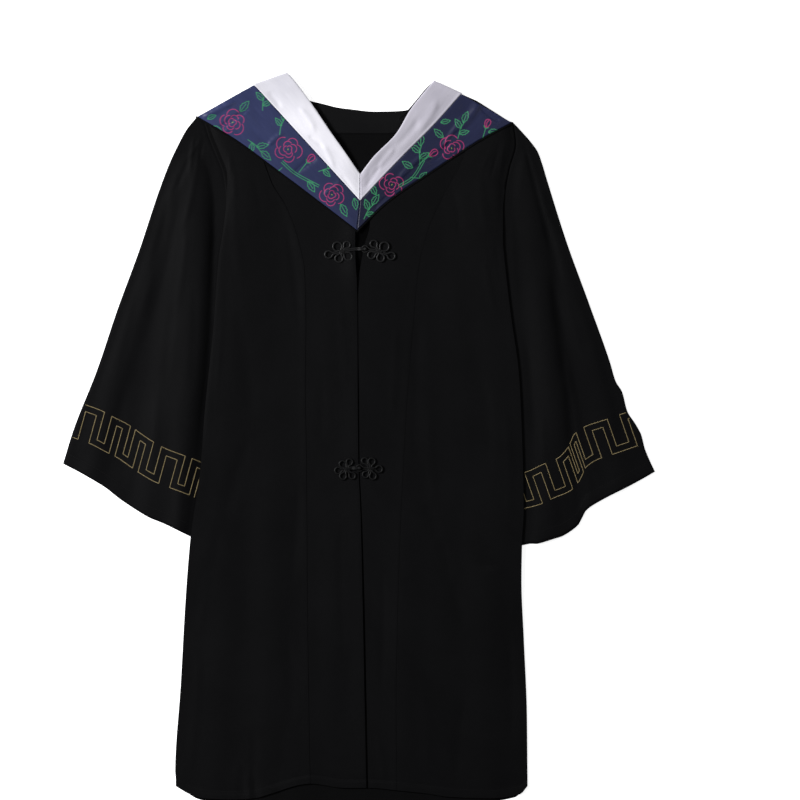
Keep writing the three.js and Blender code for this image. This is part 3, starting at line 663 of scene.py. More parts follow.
# The back is one cloth; its middle columns follow the neckline down to the notch.
backGrids = [bodyGrid(firstEdge, secondEdge, columns, backHem, "back")
             for firstEdge, secondEdge, _, columns in panels.values()]
neckShare = np.linspace(0, 1, 33)[1:-1]
middle = between(backGrids[1][:, -1], backGrids[2][:, 0], neckShare)
upTheNeck = np.clip((levels - body["notch"]) / (body["neck"] - body["notch"]), 0, 1)
middle[:, :, 1] -= upTheNeck[:, None] * along(neckDrops, neckShare)[None, :]
backPoints = np.concatenate(
    [backGrids[0], backGrids[1][:, 1:], middle, backGrids[2][:, :-1], backGrids[3]], axis=1)
# the inside of the back is a darker copy of the black cloth, as painted shade
backPanel = clothShell("backPanel", backPoints, finishes["shadedInsideCloth"], normal=(0.0, 0.0, 1.0))
# Painted shadow: the back's upward faces inside the opening below the collar get the near-black cloth
backPanel.data.materials.append(finishes["paintedShadeCloth"])
paintedShadowGap = {"x": (-0.012, 0.028), "y": (-0.45, 0.39)}  # of the opening below the collar, in metres
for face in backPanel.data.polygons:
    (lowX, highX), (lowY, highY) = paintedShadowGap["x"], paintedShadowGap["y"]
    if lowX < face.center.x < highX and lowY < face.center.y < highY and face.normal.z > 0:
        face.material_index = 1
makeSheet(backPanel, ["back_panel"])
print("back made")


# The facing inside the back neck

facing = {
    "rows": 22, "columns": 70, "thickness": 0.6,
    "reach": 15.0, "slope": 0.36,  # how far it runs on under the fronts, and how it falls there
    "below": 0.3, "sunk": 0.4,     # under the back's neck edge, and into the layer below
}
facingShare = np.linspace(0, 1, facing["columns"])
facingRows = []
for down in np.linspace(0, 1, facing["rows"]):
    ends = []
    for name in ("leftFront", "rightFront"):
        level = edgeTops[name] + (body["facing"] - edgeTops[name]) * down
        ends.append((along(bodyEdges[name], level), level))
    (leftX, leftY), (rightX, rightY) = ends
    width = rightX - leftX
    reach = facing["reach"] / width
    share = -reach + (1 + 2 * reach) * facingShare
    x = leftX + width * share
    beyond = np.clip(np.maximum(-share, share - 1), 0, None) * width
    y = leftY + (rightY - leftY) * np.clip(share, 0, 1)
    y = y - (1 - down) * (along(neckDrops, share) + facing["slope"] * beyond + facing["below"])
    z = layer + cloth["wall"] - facing["sunk"] + 0.25 * softNoise(x, y, 60, 11)
    facingRows.append(np.stack([x, y, z], axis=-1))
facingPoints = np.array(facingRows)
backFacing = clothShell("backNeckFacing", facingPoints, finishes["facingCloth"], facing["thickness"])
# its cut has a hollow neck edge, so its box is its size
backFacing["span"] = (np.ptp(facingPoints[..., :2], axis=(0, 1)) * mm).tolist()
makeSheet(backFacing, ["back_neck_facing"])
print("neck facing made")


# The bell sleeves: each is a flattened tube from the cuff up to an edge hidden under the body

sleeveShapes = {
    "left": {
        "outer": [[528, -266], [508, -282], [484, -295], [459, -307], [410, -326], [311, -359],
                  [213, -395], [115, -428], [16, -467], [-39, -484]],
        "drops": [[0, 0], [0.13, -1], [0.27, 0], [0.42, 7], [0.59, 10], [0.7, 6.5], [0.78, 5],
                  [0.89, 3.5], [1, 0]],
        "ridges": [
            {"halfWidth": 34, "path": [[500, -258, 0], [430, -268, 2.5], [344, -284, 2], [230, -307, 2],
                                       [115, -326, 3.5], [16, -339, 5.5], [-140, -352, 5]]},
            {"halfWidth": 32, "path": [[440, -300, 0], [360, -322, 3.5], [262, -345, 5], [148, -384, 6],
                                       [33, -416, 5.5], [-90, -446, 4.5]]},
            {"halfWidth": 26, "path": [[40, -285, 0], [-40, -290, 3], [-170, -296, 4.5]]},
        ],
        "steep": [
            {"halfWidth": 74, "path": [[470, -268, 0], [430, -266, 3], [372, -264, 6.5],
                                       [330, -261, 7.6], [230, -267, 8.2], [115, -276, 8.6],
                                       [20, -286, 8.4], [-60, -295, 6], [-180, -300, 3]]},
        ],
        "footGaps": [[475, 26], [372, 19], [316, 12], [262, 8], [208, 6], [152, 4], [100, 2], [-60, 1.5]],
        "creases": [
            (-262, 480, -292, 330, 7, 1.2, 3), (-276, 470, -306, 400, 5, -1.0, 2),
            (-270, 500, -276, 420, 5, 1.0, -2), (-256, 500, -286, 455, 3.5, 0.9, 2),
            (-250, 498, -262, 452, 3, -0.9, -2), (-246, 500, -240, 440, 3.5, 0.7, -2),
            (-312, 410, -346, 250, 9, -1.1, 4), (-322, 330, -356, 190, 8, 0.8, -3),
            (-282, 360, -302, 200, 7, 0.8, 3), (-360, 250, -394, 110, 9, -0.8, 3),
            (-300, 240, -318, 80, 9, -0.7, -3), (-380, 100, -420, -30, 9, -0.8, 4),
            (-330, 90, -344, -60, 8, 0.7, 3), (-268, 260, -276, 60, 8, -0.8, 3),
            (-300, -20, -306, -140, 8, -0.9, -3), (-370, -10, -384, -90, 8, 0.7, 3),
            (-430, 60, -462, -40, 8, 0.7, 3),
        ],
    },
    "right": {
        "outer": [[521, 251], [505, 266], [489, 280], [472, 292], [456, 298], [423, 308], [325, 339],
                  [226, 375], [128, 410], [95, 420], [79, 430], [46, 439], [26, 452], [7, 462],
                  [-13, 467], [-33, 475], [-52, 484]],
        "drops": [[0, 0], [0.08, 2], [0.19, 3.5], [0.3, 4], [0.41, 6], [0.46, 9], [0.515, 27],
                  [0.57, 31.5], [0.62, 33], [0.68, 30.7], [0.79, 26], [0.84, 20], [0.9, 16], [1, 6]],
        "ridges": [
            {"halfWidth": 40, "path": [[500, 258, 0], [443, 270, 4], [328, 290, 6], [197, 306, 6],
                                       [66, 314, 6], [-49, 313, 6], [-190, 308, 5]]},
            {"halfWidth": 40, "path": [[470, 284, 0], [400, 308, 4.5], [311, 348, 5], [180, 376, 5],
                                       [66, 400, 4.5], [-49, 424, 4.5], [-100, 430, 4]]},
        ],
        "steep": [
            {"halfWidth": 50, "path": [[300, 292, 0], [238, 300, 1.6], [184, 309, 2.4], [98, 326, 3.2],
                                       [67, 331, 3.4], [20, 339, 2.8], [-40, 348, 1.6], [-100, 354, 0]]},
        ],
        "footGaps": [[300, -26], [-100, -26]],
        "creases": [
            (268, 498, 322, 284, 6.5, -1.6, 0), (304, 380, 324, 240, 12, -1.2, 2),
            (314, 280, 341, 70, 11, -3.2, 2), (338, 110, 358, -90, 11, -3.4, 2),
            (354, -50, 366, -160, 8, -2.2, 2), (358, 4, 372, -126, 6, -1.6, 2),
            (250, 380, 258, 200, 8, 0.9, -3), (330, 300, 372, 120, 10, 0.7, -4),
            (400, 120, 436, -10, 10, -0.8, 3), (272, 180, 284, 0, 9, -0.8, 3),
            (300, 60, 312, -120, 9, 0.8, -3), (370, -10, 400, -90, 8, 0.8, 3),
            (262, 20, 268, -150, 8, -0.8, 2), (430, 40, 462, -40, 8, 0.7, -2),
            (322, -60, 330, -150, 7, -0.8, 2),
        ],
    },
}
sleeve = {
    "rows": 132, "across": 46, "fold": 5,     # points down, across and round the outer fold
    "hiddenTop": 592.0, "hiddenEnd": -168.0,  # levels of the hidden edge
    "underarm": 300.0,                        # below it the hidden edge is sewn to itself
    "ridges": 0.4, "creases": 0.7, "uneven": 0.25, "deepest": -0.9,  # how much of each shows, or mm
    "seamLift": 0.55, "seamLiftFrom": 395,    # level with the body's edge near the shoulder
    "cuffFrom": 6, "cuffStands": 0.4,         # the cuff's hem is deeper than the gown's, and double
    "bulge": 0.8, "openEdge": 0.6, "lip": 0.5,  # of the outer fold, the armhole's edge and the closed seam
}


def hiddenLevel(v):
    return sleeve["hiddenTop"] + (sleeve["hiddenEnd"] - sleeve["hiddenTop"]) * v


def hiddenPoint(side, level):
    edge, princess = edgePoint(f"{side}Side", level), edgePoint(f"{side}Princess", level)
    width = np.linalg.norm(princess - edge, axis=-1, keepdims=True)
    return edge + (princess - edge) * (cloth["tuck"] - 2) / width


def sleevePlace(side, v, share):
    # Place of a share of the way from the outer edge, v down the sleeve
    shape = sleeveShapes[side]
    topLevel, endLevel = shape["outer"][0][0], shape["outer"][-1][0]
    y = topLevel + (endLevel - topLevel) * v
    outer = np.stack([along(shape["outer"], y), y], axis=-1)
    place = outer + (hiddenPoint(side, hiddenLevel(v)) - outer) * share[..., None]
    place[..., 1] -= along(shape["drops"], share) * v**5
    return place


def sleeveHeight(side, x, y, v):
    # Height of the top, the part of it from ridges, and the share that small folds may have
    shape, sign = sleeveShapes[side], outwards[side]
    fromBody = sign * (x - along(bodyEdges[f"{side}Side"], y))
    fromOuter = sign * (along(shape["outer"], y) - x)
    calm = ease(fromBody, 5, 20) * smooth(fromOuter / 22) * ease(v, 0.005, 0.06)
    fold = ridgeHeight(shape["ridges"], x, y) * calm * ease(v, 0.03, 0.1) * sleeve["ridges"]
    crease = sleeve["creases"] * creaseHeight(shape["creases"], x, y)
    crease = crease + sleeve["uneven"] * softNoise(x, y, 90, 5)
    start = bodyEdges["leftSide"] if side == "left" else shape["steep"][0]["path"]
    steep = steepHeight(shape["steep"], x, y, along(start, y) - along(shape["footGaps"], y))
    steep = steep * smooth(fromOuter / 22) * ease(v, 0.02, 0.1)
    seam = sleeve["seamLift"] * ease(y, sleeve["seamLiftFrom"], 55) * smooth(fromBody / 4)
    relief = np.maximum(fold + crease * calm + steep, sleeve["deepest"])
    return layer + cloth["wall"] + relief + seam, fold, calm


def outOf(edge, inner):
    # Level direction from the points inside an edge to the edge
    away = edge - inner
    away[:, 2] = 0
    return away / np.linalg.norm(away, axis=1, keepdims=True)


upward = np.array([0, 0, 1.0])
sleevePieces, sleeveTops = {}, {}
for side in ("left", "right"):
    v, share = np.meshgrid(np.linspace(0, 1, sleeve["rows"]), np.linspace(1, 0, sleeve["across"]),
                           indexing="ij")
    place = sleevePlace(side, v, share)
    x, y = place[..., 0], place[..., 1]
    z, fold, calm = sleeveHeight(side, x, y, v)
    fromCuff = np.linalg.norm(place - place[-1:], axis=-1)
    double = ease(fromCuff, cloth["hemDepth"] + sleeve["cuffFrom"], -cloth["hemStep"])
    z = z + sleeve["cuffStands"] * double * calm
    top = np.stack([x, y, z], axis=-1)
    bottom = np.stack([x, y, 0.45 * fold], axis=-1)[:, ::-1]
    radius = (layer + cloth["wall"]) / 2
    away = outOf(top[:, -1], top[:, -2])
    turn = []
    for i in range(1, sleeve["fold"] + 1):  # round the outer fold
        angle = math.pi * i / (sleeve["fold"] + 1)
        turn.append(top[:, -1] + away * radius * sleeve["bulge"] * math.sin(angle)
                    + upward * (radius * math.cos(angle) - radius))
    inward = outOf(top[:, 0], top[:, 1])
    closed = (hiddenLevel(v[:, :1]) <= sleeve["underarm"]).astype(float)
    hidden = []
    for edge, toMiddle in ((top[:, 0], -upward), (bottom[:, -1], upward)):
        edge = edge + (inward * sleeve["bulge"] + toMiddle * (radius - sleeve["lip"])) * closed
        hidden.append((edge + inward * sleeve["openEdge"] * (1 - closed))[:, None])
    allRound = np.concatenate([hidden[0], top, np.stack(turn, axis=1), bottom, hidden[1]], axis=1)
    piece = clothShell(f"sleeve{side.title()}", allRound, finishes["blackCloth"],
                       normal=normalsOf(allRound, 5))
    sleevePieces[side], sleeveTops[side] = piece, top
    makeSheet(piece, [f"sleeve_{side}"])
print("sleeves made")


# Heights of finished pieces, for what lies on them

def treesOf(pieces):
    return [BVHTree.FromPolygons([v.co.copy() for v in piece.data.vertices],
                                 [tuple(p.vertices) for p in piece.data.polygons]) for piece in pieces]


def topHeight(trees, x, y):
    # Height of whatever is uppermost at a place, or None
    hits = [tree.ray_cast(Vector((x * mm, y * mm, 0.2)), Vector((0, 0, -1)))[0] for tree in trees]
    heights = [hit.z for hit in hits if hit is not None]
    return max(heights) / mm if heights else None


def neighbours(grid, **filling):
    # A grid and its eight neighbours, one over another
    padded = np.pad(grid, 1, **filling)
    rows, columns = grid.shape
    return np.stack([padded[a:a + rows, b:b + columns] for a in range(3) for b in range(3)])


def smoothHeight(trees, xRange, yRange, step=5.0):
    # A soft height over a region of these pieces, as a function of x and y
    gridX, gridY = [np.arange(low, high + step, step) for low, high in (xRange, yRange)]
    grid = np.array([[topHeight(trees, x, y) for x in gridX] for y in gridY], float)
    for _ in range(12):  # spread outwards where nothing lies below
        near = neighbours(grid, constant_values=np.nan)
        known = ~np.isnan(near)
        spread = np.where(known, near, 0).sum(axis=0) / np.maximum(known.sum(axis=0), 1)
        grid = np.where(np.isnan(grid) & known.any(axis=0), spread, grid)
    grid = neighbours(np.nan_to_num(grid, nan=float(np.nanmin(grid))), mode="edge").max(axis=0)
    for _ in range(2):
        grid = neighbours(grid, mode="edge").mean(axis=0)

    def heightAt(x, y):
        fx = np.clip((x - gridX[0]) / step, 0, len(gridX) - 1.001)
        fy = np.clip((y - gridY[0]) / step, 0, len(gridY) - 1.001)
        i, j = fx.astype(int), fy.astype(int)
        u, v = fx - i, fy - j
        lower = (1 - u) * grid[j, i] + u * grid[j, i + 1]
        return (1 - v) * lower + v * ((1 - u) * grid[j + 1, i] + u * grid[j + 1, i + 1])

    return heightAt


frontTrees = dict(zip(frontPieces, treesOf(frontPieces.values())))
sleeveTrees = dict(zip(sleevePieces, treesOf(sleevePieces.values())))
underCollar = smoothHeight(list(frontTrees.values()), xRange=(-275, 262), yRange=(334, 606))
print("heights of the fronts read")


# The collar: white and navy satin bands, bound in black

collarLines = {
    "left": {
        "whiteInner": [[-118, 602], [-112, 596], [-82, 557], [-43, 500], [-25, 475], [2, 436]],
        "border": [[-173, 583], [2, 392]],
        "navyOuter": [[-266, 531], [-199, 491], [-143, 450], [-67, 393], [-3, 344]],
    },
    "right": {
        "whiteInner": [[123, 589], [85, 542], [61, 502], [23, 463], [2, 436]],
        "border": [[169, 568], [121, 514], [68, 461], [2, 392]],
        "navyOuter": [[252, 521], [196, 491], [121, 442], [45, 390], [-3, 344]],
    },
}
# Creases of the bands: from x, y, to x, y, half width, height, bow
bandCreases = [
    (-262, 522, -196, 556, 7, 1.2, 3), (-236, 505, -176, 546, 5, -1.1, 0),
    (-222, 492, -214, 512, 5, 0.9, 0), (-150, 480, -120, 506, 6, 0.8, 2), (-112, 430, -60, 470, 7, -0.9, 2),
    (-60, 400, -20, 430, 6, 0.8, 0), (-150, 572, -128, 540, 8, -1.0, 2), (-100, 548, -70, 500, 7, 1.1, 3),
    (-84, 500, -58, 478, 5, -1.2, 1), (-60, 486, -40, 440, 6, 1.0, 2), (-30, 436, -8, 400, 5, -0.9, 0),
    (130, 560, 92, 500, 9, 1.3, 4), (100, 530, 60, 480, 8, -1.1, 3), (60, 480, 30, 444, 6, 1.1, 0),
    (36, 450, 8, 410, 5, -0.9, 0), (200, 556, 150, 500, 8, 1.2, 4), (232, 520, 196, 548, 6, -1.0, 0),
    (150, 490, 110, 452, 7, -1.0, 3), (110, 470, 60, 420, 7, 1.0, -3), (60, 410, 20, 372, 6, -0.8, 0),
    (176, 540, 130, 470, 5, 0.8, 0),
]
band = {
    "above": 1.15,                                   # over the fronts' soft height
    "creaseFrom": 9, "creaseTop": 5, "deepest": -1.1,   # creases keep off the edges
    "puffOver": 14, "edgeDrop": 0.55, "edgeWidth": 1.2, "rollFrom": 2.0, "rollWidth": 1.0,
    "mitre": 0.15, "mitreFrom": 0.97,                # the two sides part by a hair at the foot of the V
    "whiteTilt": 0.96,                               # the white band's outer side lies on the navy one
    "hollow": 2.6, "hollowFrom": 0.5,                # of the right white band's lower end
}
bands = {  # insets from both lines, lift of the first line, crumple of its creases, start down the shoulder
    "white": {"rows": 150, "columns": 38, "insets": (0, 0.25), "lift": 5.2, "puff": 0.5, "roll": 0.55},
    "navy": {"rows": 320, "columns": 80, "insets": (0.25, 0), "lift": 1.6, "puff": 0.5, "roll": 0.25,
             "start": 1.9, "crumple": 1.8},
    "binding": {"rows": 150, "columns": 7, "from": 0.3, "to": 3.1},
}


def bandGrid(side, firstLine, secondLine, sizes):
    # A band between two lines, neck end first
    size = {"insets": (0, 0), "lift": 0.0, "puff": 0.0, "roll": 0.0, "start": 0.0, "crumple": 1.0, **sizes}
    t = np.linspace(0, 1, size["rows"])
    reach = np.linalg.norm(np.diff(softLine(firstLine, t), axis=0), axis=1).sum()
    t = size["start"] / reach + (1 - size["start"] / reach) * t
    first, second = softLine(firstLine, t), softLine(secondLine, t)
    width = np.linalg.norm(second - first, axis=1)[:, None]
    firstInset, secondInset = size["insets"]
    across = np.linspace(0, 1, size["columns"])[None, :]
    share = firstInset / width + (1 - (firstInset + secondInset) / width) * across
    place = between(first, second, share)
    x, y = place[..., 0], place[..., 1]
    mitre = np.clip((t - band["mitreFrom"]) / (1 - band["mitreFrom"]), 0, 1)[:, None] * band["mitre"]
    x = x + outwards[side] * mitre
    toFirst, toSecond, toMitre = share * width, (1 - share) * width, (1 - t)[:, None] * reach
    toTop = t[:, None] * reach
    toEdge = np.minimum(np.minimum(toFirst, toSecond), toMitre)
    lift = size["lift"] * (1 - share) * smooth(toMitre / 60 + 0.25) * smooth(toTop / 40 + 0.3)
    puff = size["puff"] * np.sqrt(np.clip(toEdge / band["puffOver"], 0, 1))
    z = underCollar(x, y) + band["above"] + lift + puff
    calm = smooth(toEdge / band["creaseFrom"]) * smooth(toTop / band["creaseTop"])
    z = z + np.maximum(size["crumple"] * creaseHeight(bandCreases, x, y), band["deepest"]) * calm
    z = z - band["edgeDrop"] * bell(np.minimum(toEdge, toTop), band["edgeWidth"])
    for distance in (toSecond, toMitre):
        z = z + size["roll"] * bell(distance - band["rollFrom"], band["rollWidth"])
    return np.stack([x, y, z], axis=-1)


# Flower print, drawn for this gown: lines with a colour each
printAndSideLightColours = {
    # the navy ground is lighter on the left band and darker on the right one: painted light and shade from the
    # key light at the left
    "groundLeft": (0.0240, 0.0305, 0.0830), "groundRight": (0.0105, 0.0132, 0.0410),
    "rose": (0.47, 0.040, 0.165), "leaf": (0.048, 0.31, 0.118), "centre": (0.34, 0.40, 0.06),
}
printLine = {"width": 1.05, "softness": 0.7, "reach": 3}


def turned(points, x, y, angle, size):
    points = np.asarray(points, float) * size
    c, s = math.cos(angle), math.sin(angle)
    across, up = points.T
    return np.stack([x + across * c - up * s, y + across * s + up * c], axis=-1)


def roseStrokes(x, y, size, angle):
    strokes = []
    # rings of petals: how many, place, radius, opening
    rings = ((5, 0.60, 0.50, 1.25), (4, 0.34, 0.36, 1.3), (3, 0.13, 0.24, 1.4))
    for ring, (count, out, radius, spread) in enumerate(rings):
        for i in range(count):  # each petal is a bowed arc of its own size
            a = 2 * math.pi * (i + 0.45 * ring) / count + 0.2 * math.sin(3.1 * i + x)
            wide = radius * (1 + 0.15 * math.sin(2.3 * i + ring + y))
            bow = np.linspace(a - spread * 0.8, a + spread * 1.25, 10)
            petalX = out * math.cos(a) + wide * np.cos(bow)
            petalY = out * math.sin(a) + wide * np.sin(bow)
            strokes.append(("rose", turned(np.stack([petalX, petalY], axis=-1), x, y, angle, size)))
    strokes.append(("centre", turned([[-0.04, 0.0], [0.04, 0.03]], x, y, angle, size)))
    return strokes


def leafStrokes(x, y, size, angle):
    t = np.linspace(0, 1, 15)
    notches = 1 + 0.14 * np.sin(8 * np.pi * t)
    upper = np.stack([t, 0.25 * np.sin(np.pi * t ** 0.8) * notches], axis=-1)
    lower = np.stack([t, -0.21 * np.sin(np.pi * t ** 0.9) * notches], axis=-1)
    lines = (upper, lower, [[0.08, 0.01], [0.7, 0.03]])
    return [("leaf", turned(line, x, y, angle, size)) for line in lines]


def sprigStrokes(x, y, size, angle, leaves=3):
    stem = softLine([[0, 0], [0.5, 0.06], [0.85, 0.0]], np.linspace(0, 1, 8))
    strokes = [("leaf", turned(stem, x, y, angle, size))]
    for i in range(leaves):
        at, side = 0.85 - 0.3 * i, (0, 1, -1, 1)[i]
        base = turned([[at, 0.03]], x, y, angle, size)[0]
        strokes += leafStrokes(base[0], base[1], size * (0.62 - 0.05 * i), angle + side * 0.95)
    return strokes


def budStrokes(x, y, size, angle):
    t = np.linspace(0, 2 * np.pi, 12)
    drop = np.stack([0.5 - 0.5 * np.cos(t), 0.33 * np.sin(t) * (1 - 0.3 * np.cos(t))], axis=-1)
    cup = softLine([[0.1, 0.3], [-0.15, 0.0], [0.1, -0.3]], np.linspace(0, 1, 6))
    lines = [("rose", drop), ("rose", [[0.1, 0], [0.55, 0.1], [0.85, 0]]),
             ("leaf", cup), ("leaf", [[-0.15, 0.0], [-1.5, -0.12]])]
    return [(kind, turned(line, x, y, angle, size)) for kind, line in lines]


def stemStrokes(points, spread):
    points = np.array(points, float)
    t = np.linspace(0, 1, 12)
    line = softLine(points, t)
    tangent = np.gradient(line, axis=0)
    tangent /= np.linalg.norm(tangent, axis=1, keepdims=True)
    side = np.stack([-tangent[:, 1], tangent[:, 0]], axis=-1) * spread / 2
    return [("leaf", line + side), ("leaf", line - side)]

motifs = {"rose": roseStrokes, "leaf": leafStrokes, "sprig": sprigStrokes, "bud": budStrokes,
          "stem": stemStrokes}
printRows = {  # motif, x, y, size, angle, and leaves of a small sprig; or a stem's points and width
    "left": [
        ("rose", -207, 520, 19, 0.3), ("leaf", -225, 506, 19, 2.7), ("leaf", -194, 538, 22, 0.9),
        ("sprig", -158, 540, 31, 1.4), ("sprig", -182, 492, 34, -0.75), ("rose", -116, 476, 20, 1.0),
        ("stem", [[-126, 456], [-106, 438], [-66, 416]], 3.4), ("sprig", -130, 500, 28, 1.3, 2),
        ("bud", -84, 456, 15, 0.8), ("sprig", -126, 446, 24, -2.6, 2), ("leaf", -84, 424, 21, -1.0),
        ("rose", -44, 402, 18, 2.0), ("sprig", -66, 440, 30, 0.2), ("leaf", -30, 386, 22, -1.1),
        ("leaf", -8, 396, 19, -1.4), ("leaf", -248, 526, 15, 0.4),
    ],
    "right": [
        ("sprig", 8, 362, 32, 1.0), ("rose", 54, 418, 18, 0.5), ("leaf", 28, 402, 19, 2.0),
        ("stem", [[66, 416], [88, 430], [106, 458]], 3.4), ("sprig", 84, 430, 28, -0.2, 2),
        ("sprig", 100, 452, 35, 1.5), ("bud", 116, 466, 15, 0.6), ("leaf", 88, 446, 20, 2.6),
        ("rose", 152, 478, 19, 1.4), ("sprig", 162, 494, 32, 1.2), ("leaf", 138, 496, 20, 2.4),
        ("leaf", 170, 474, 18, -0.1), ("bud", 208, 512, 14, 1.2), ("leaf", 212, 504, 18, 0.1),
        ("leaf", 134, 520, 16, 0.2),
    ],
}


def fromLine(line, x, y):
    # Distance of places from a line of points
    best = np.full(len(x), 1e9)
    for a, b in zip(line[:-1], line[1:]):
        d = b - a
        s = np.clip(((x - a[0]) * d[0] + (y - a[1]) * d[1]) / max(1e-9, d @ d), 0, 1)
        best = np.minimum(best, np.hypot(x - a[0] - d[0] * s, y - a[1] - d[1] * s))
    return best


def paintPrint(piece, points, side):
    # The colour of each point of the top, from its distance to the lines of the print
    x, y = points[..., 0].ravel(), points[..., 1].ravel()
    sideLitGround = np.array(printAndSideLightColours[f"ground{side.title()}"])
    # painted sheen: the ground is lighter away from the middle of the gown and darker near the foot of the V
    paintedSheen = 1.0 + 0.3 * ease(np.abs(x), 60, 150) - 0.22 * ease(np.abs(x), 70, -60)
    colour = sideLitGround[None, :] * paintedSheen[:, None]
    for motif, *values in printRows[side]:
        for kind, line in motifs[motif](*values):
            low, high = line.min(axis=0) - printLine["reach"], line.max(axis=0) + printLine["reach"]
            near = np.where((x > low[0]) & (x < high[0]) & (y > low[1]) & (y < high[1]))[0]
            inside = (printLine["width"] / 2 - fromLine(line, x[near], y[near])) / printLine["softness"]
            cover = np.clip(inside + 0.5, 0, 1)[:, None]
            colour[near] = colour[near] * (1 - cover) + np.array(printAndSideLightColours[kind]) * cover
    mesh = piece.data
    everywhere = np.tile(np.array([*sideLitGround, 1.0]), (len(mesh.vertices), 1))
    everywhere[: len(x), :3] = colour
    attribute = mesh.attributes.new("printWithPaintedLight", "FLOAT_COLOR", "POINT")
    attribute.data.foreach_set("color", everywhere.astype(np.float32).ravel())


def besideLine(line, side, offset):
    # A line moved off a band's outer edge; its last point stays on the middle of the gown
    line = np.array(line, float)
    moved = []
    for i, p in enumerate(line):
        a, b = line[max(0, i - 1)], line[min(len(line) - 1, i + 1)]
        d = np.abs(b - a) / np.linalg.norm(b - a)
        if i == len(line) - 1:
            moved.append([p[0], p[1] - offset / d[0]])
        else:
            moved.append([p[0] + outwards[side] * d[1] * offset, p[1] - d[0] * offset])
    return moved


for side in ("left", "right"):
    lines, title = collarLines[side], side.title()
    points = bandGrid(side, lines["whiteInner"], lines["border"], bands["white"])
    down, across = [np.linspace(0, 1, bands["white"][name]) for name in ("rows", "columns")]
    points[..., 2] += band["whiteTilt"] * across
    if side == "right":  # hollow along the middle of its lower end
        hollow = ease(down, band["hollowFrom"], 0.25) * ease(down, 1, -0.12)
        points[..., 2] -= band["hollow"] * hollow[:, None] * np.sin(np.pi * across) ** 1.5
    # the right band takes the darker copy of the white satin, as painted shade
    satin = "whiteSatin" if side == "left" else "whiteSatinShaded"
    white = clothShell(f"collarWhite{title}", points, finishes[satin])
    makeSheet(white, [f"collar_white_{side}"])
    points = bandGrid(side, lines["border"], lines["navyOuter"], bands["navy"])
    navy = clothShell(f"collarNavy{title}", points, finishes["navySatin"])
    paintPrint(navy, points, side)
    edges = [besideLine(lines["navyOuter"], side, bands["binding"][name]) for name in ("from", "to")]
    points = bandGrid(side, *edges, bands["binding"])
    # the binding's turned edges are painted in shade
    binding = clothShell(f"collarBinding{title}", points, finishes["bindingSatin"],
                         edgeShade=finishes["paintedShadeCloth"])
    putOn(binding, [f"collar_binding_{side}"])
    makeSheet(navy, [f"collar_navy_{side}"])
print("collar made")


# Cord closures: each half is a hub with five loops of cord, and the knot or the eye

cord = {
    "halfWidth": 1.55, "halfHeight": 1.3, "sides": 14, "step": 0.75,
    "twist": 4.2, "lobes": 3, "lobeDepth": 0.13, "lobeLift": 0.04,  # length of a turn, its strands
    "apart": 1.45, "open": 0.72,     # half the way between a loop's two cords, and the gap of its ring
    "over": 0.16,                    # how much the loops rise over each other at the hub
    "knotRadius": 3.1, "knotLift": 0.3, "eyeRadius": 5.2,
}
loops = {  # hub of each half, and its loops: x, y, outer radius
    "Top": {
        "Left": {"hub": (-29, 309), "loops": [(-49.7, 304, 7.5), (-35.2, 317, 8.9), (-19.7, 320, 6.9),
                                              (-32.8, 297.5, 7.7), (-17.7, 301, 7.9)]},
        "Right": {"hub": (33, 309), "loops": [(53, 301.5, 7.5), (41.8, 317, 8.9), (24.3, 321.5, 7.2),
                                              (35.6, 298.5, 7.5), (20.5, 303, 7.3)]},
    },
    "Low": {
        "Left": {"hub": (-20, -47.5), "loops": [(-34, -50, 6.9), (-26.6, -39.5, 7), (-15.5, -36, 6.6),
                                                (-26, -59, 6.9), (-11, -58.5, 6.6)]},
        "Right": {"hub": (19, -47), "loops": [(33, -47.5, 6.9), (21, -35, 6.9), (9.5, -34, 6.4),
                                              (23, -59, 6.9), (11, -56.5, 6.6)]},
    },
}
restHeight = layer + cloth["wall"] + cloth["gap"] + cord["halfHeight"]


def tubeFaces(rings, sides, closed):
    faces = [(i * sides + k, i * sides + m, j * sides + m, j * sides + k)
             for i, j in ((i, (i + 1) % rings) for i in range(rings if closed else rings - 1))
             for k, m in ((k, (k + 1) % sides) for k in range(sides))]
    if not closed:
        faces += [tuple(range(sides))[::-1], tuple(range((rings - 1) * sides, rings * sides))]
    return faces


def cordMesh(path, closed):
    # Twisted cord along a smooth path, as vertices and faces
    path = np.array(path, float)
    if closed:
        path = np.concatenate([path, path[:1]])
    total = lengthsAlong(path)[-1]
    count = max(8, int(total / cord["step"]))
    if closed:  # three points more at each end, so that it closes without a corner
        path = np.concatenate([path[-4:-1], path, path[1:4]])
    lengths = lengthsAlong(path)
    s = total * np.arange(count) / (count if closed else count - 1)
    table = np.column_stack([lengths, path])
    centre = np.stack([along(table, s + (lengths[3] if closed else 0), k) for k in (1, 2, 3)], axis=-1)
    wrapped = np.pad(centre, ((1, 1), (0, 0)), mode="wrap" if closed else "edge")
    tangent = wrapped[2:] - wrapped[:-2]
    tangent /= np.linalg.norm(tangent, axis=1, keepdims=True)
    across = np.cross(tangent, [0, 0, 1.0])
    across /= np.linalg.norm(across, axis=1, keepdims=True)
    above = np.cross(across, tangent)
    angle = 2 * np.pi * np.arange(cord["sides"]) / cord["sides"]
    phase = 2 * np.pi * max(1, round(total / cord["twist"])) * s / total
    groove = (0.5 + 0.5 * np.cos(cord["lobes"] * angle[None, :] - phase[:, None])) ** 2
    lobe = 1 - cord["lobeDepth"] * groove + cord["lobeLift"]
    offset = (across[:, None] * (np.cos(angle)[None, :, None] * cord["halfWidth"])
              + above[:, None] * (np.sin(angle)[None, :, None] * cord["halfHeight"])) * lobe[..., None]
    return (centre[:, None] + offset).reshape(-1, 3), tubeFaces(count, cord["sides"], closed)


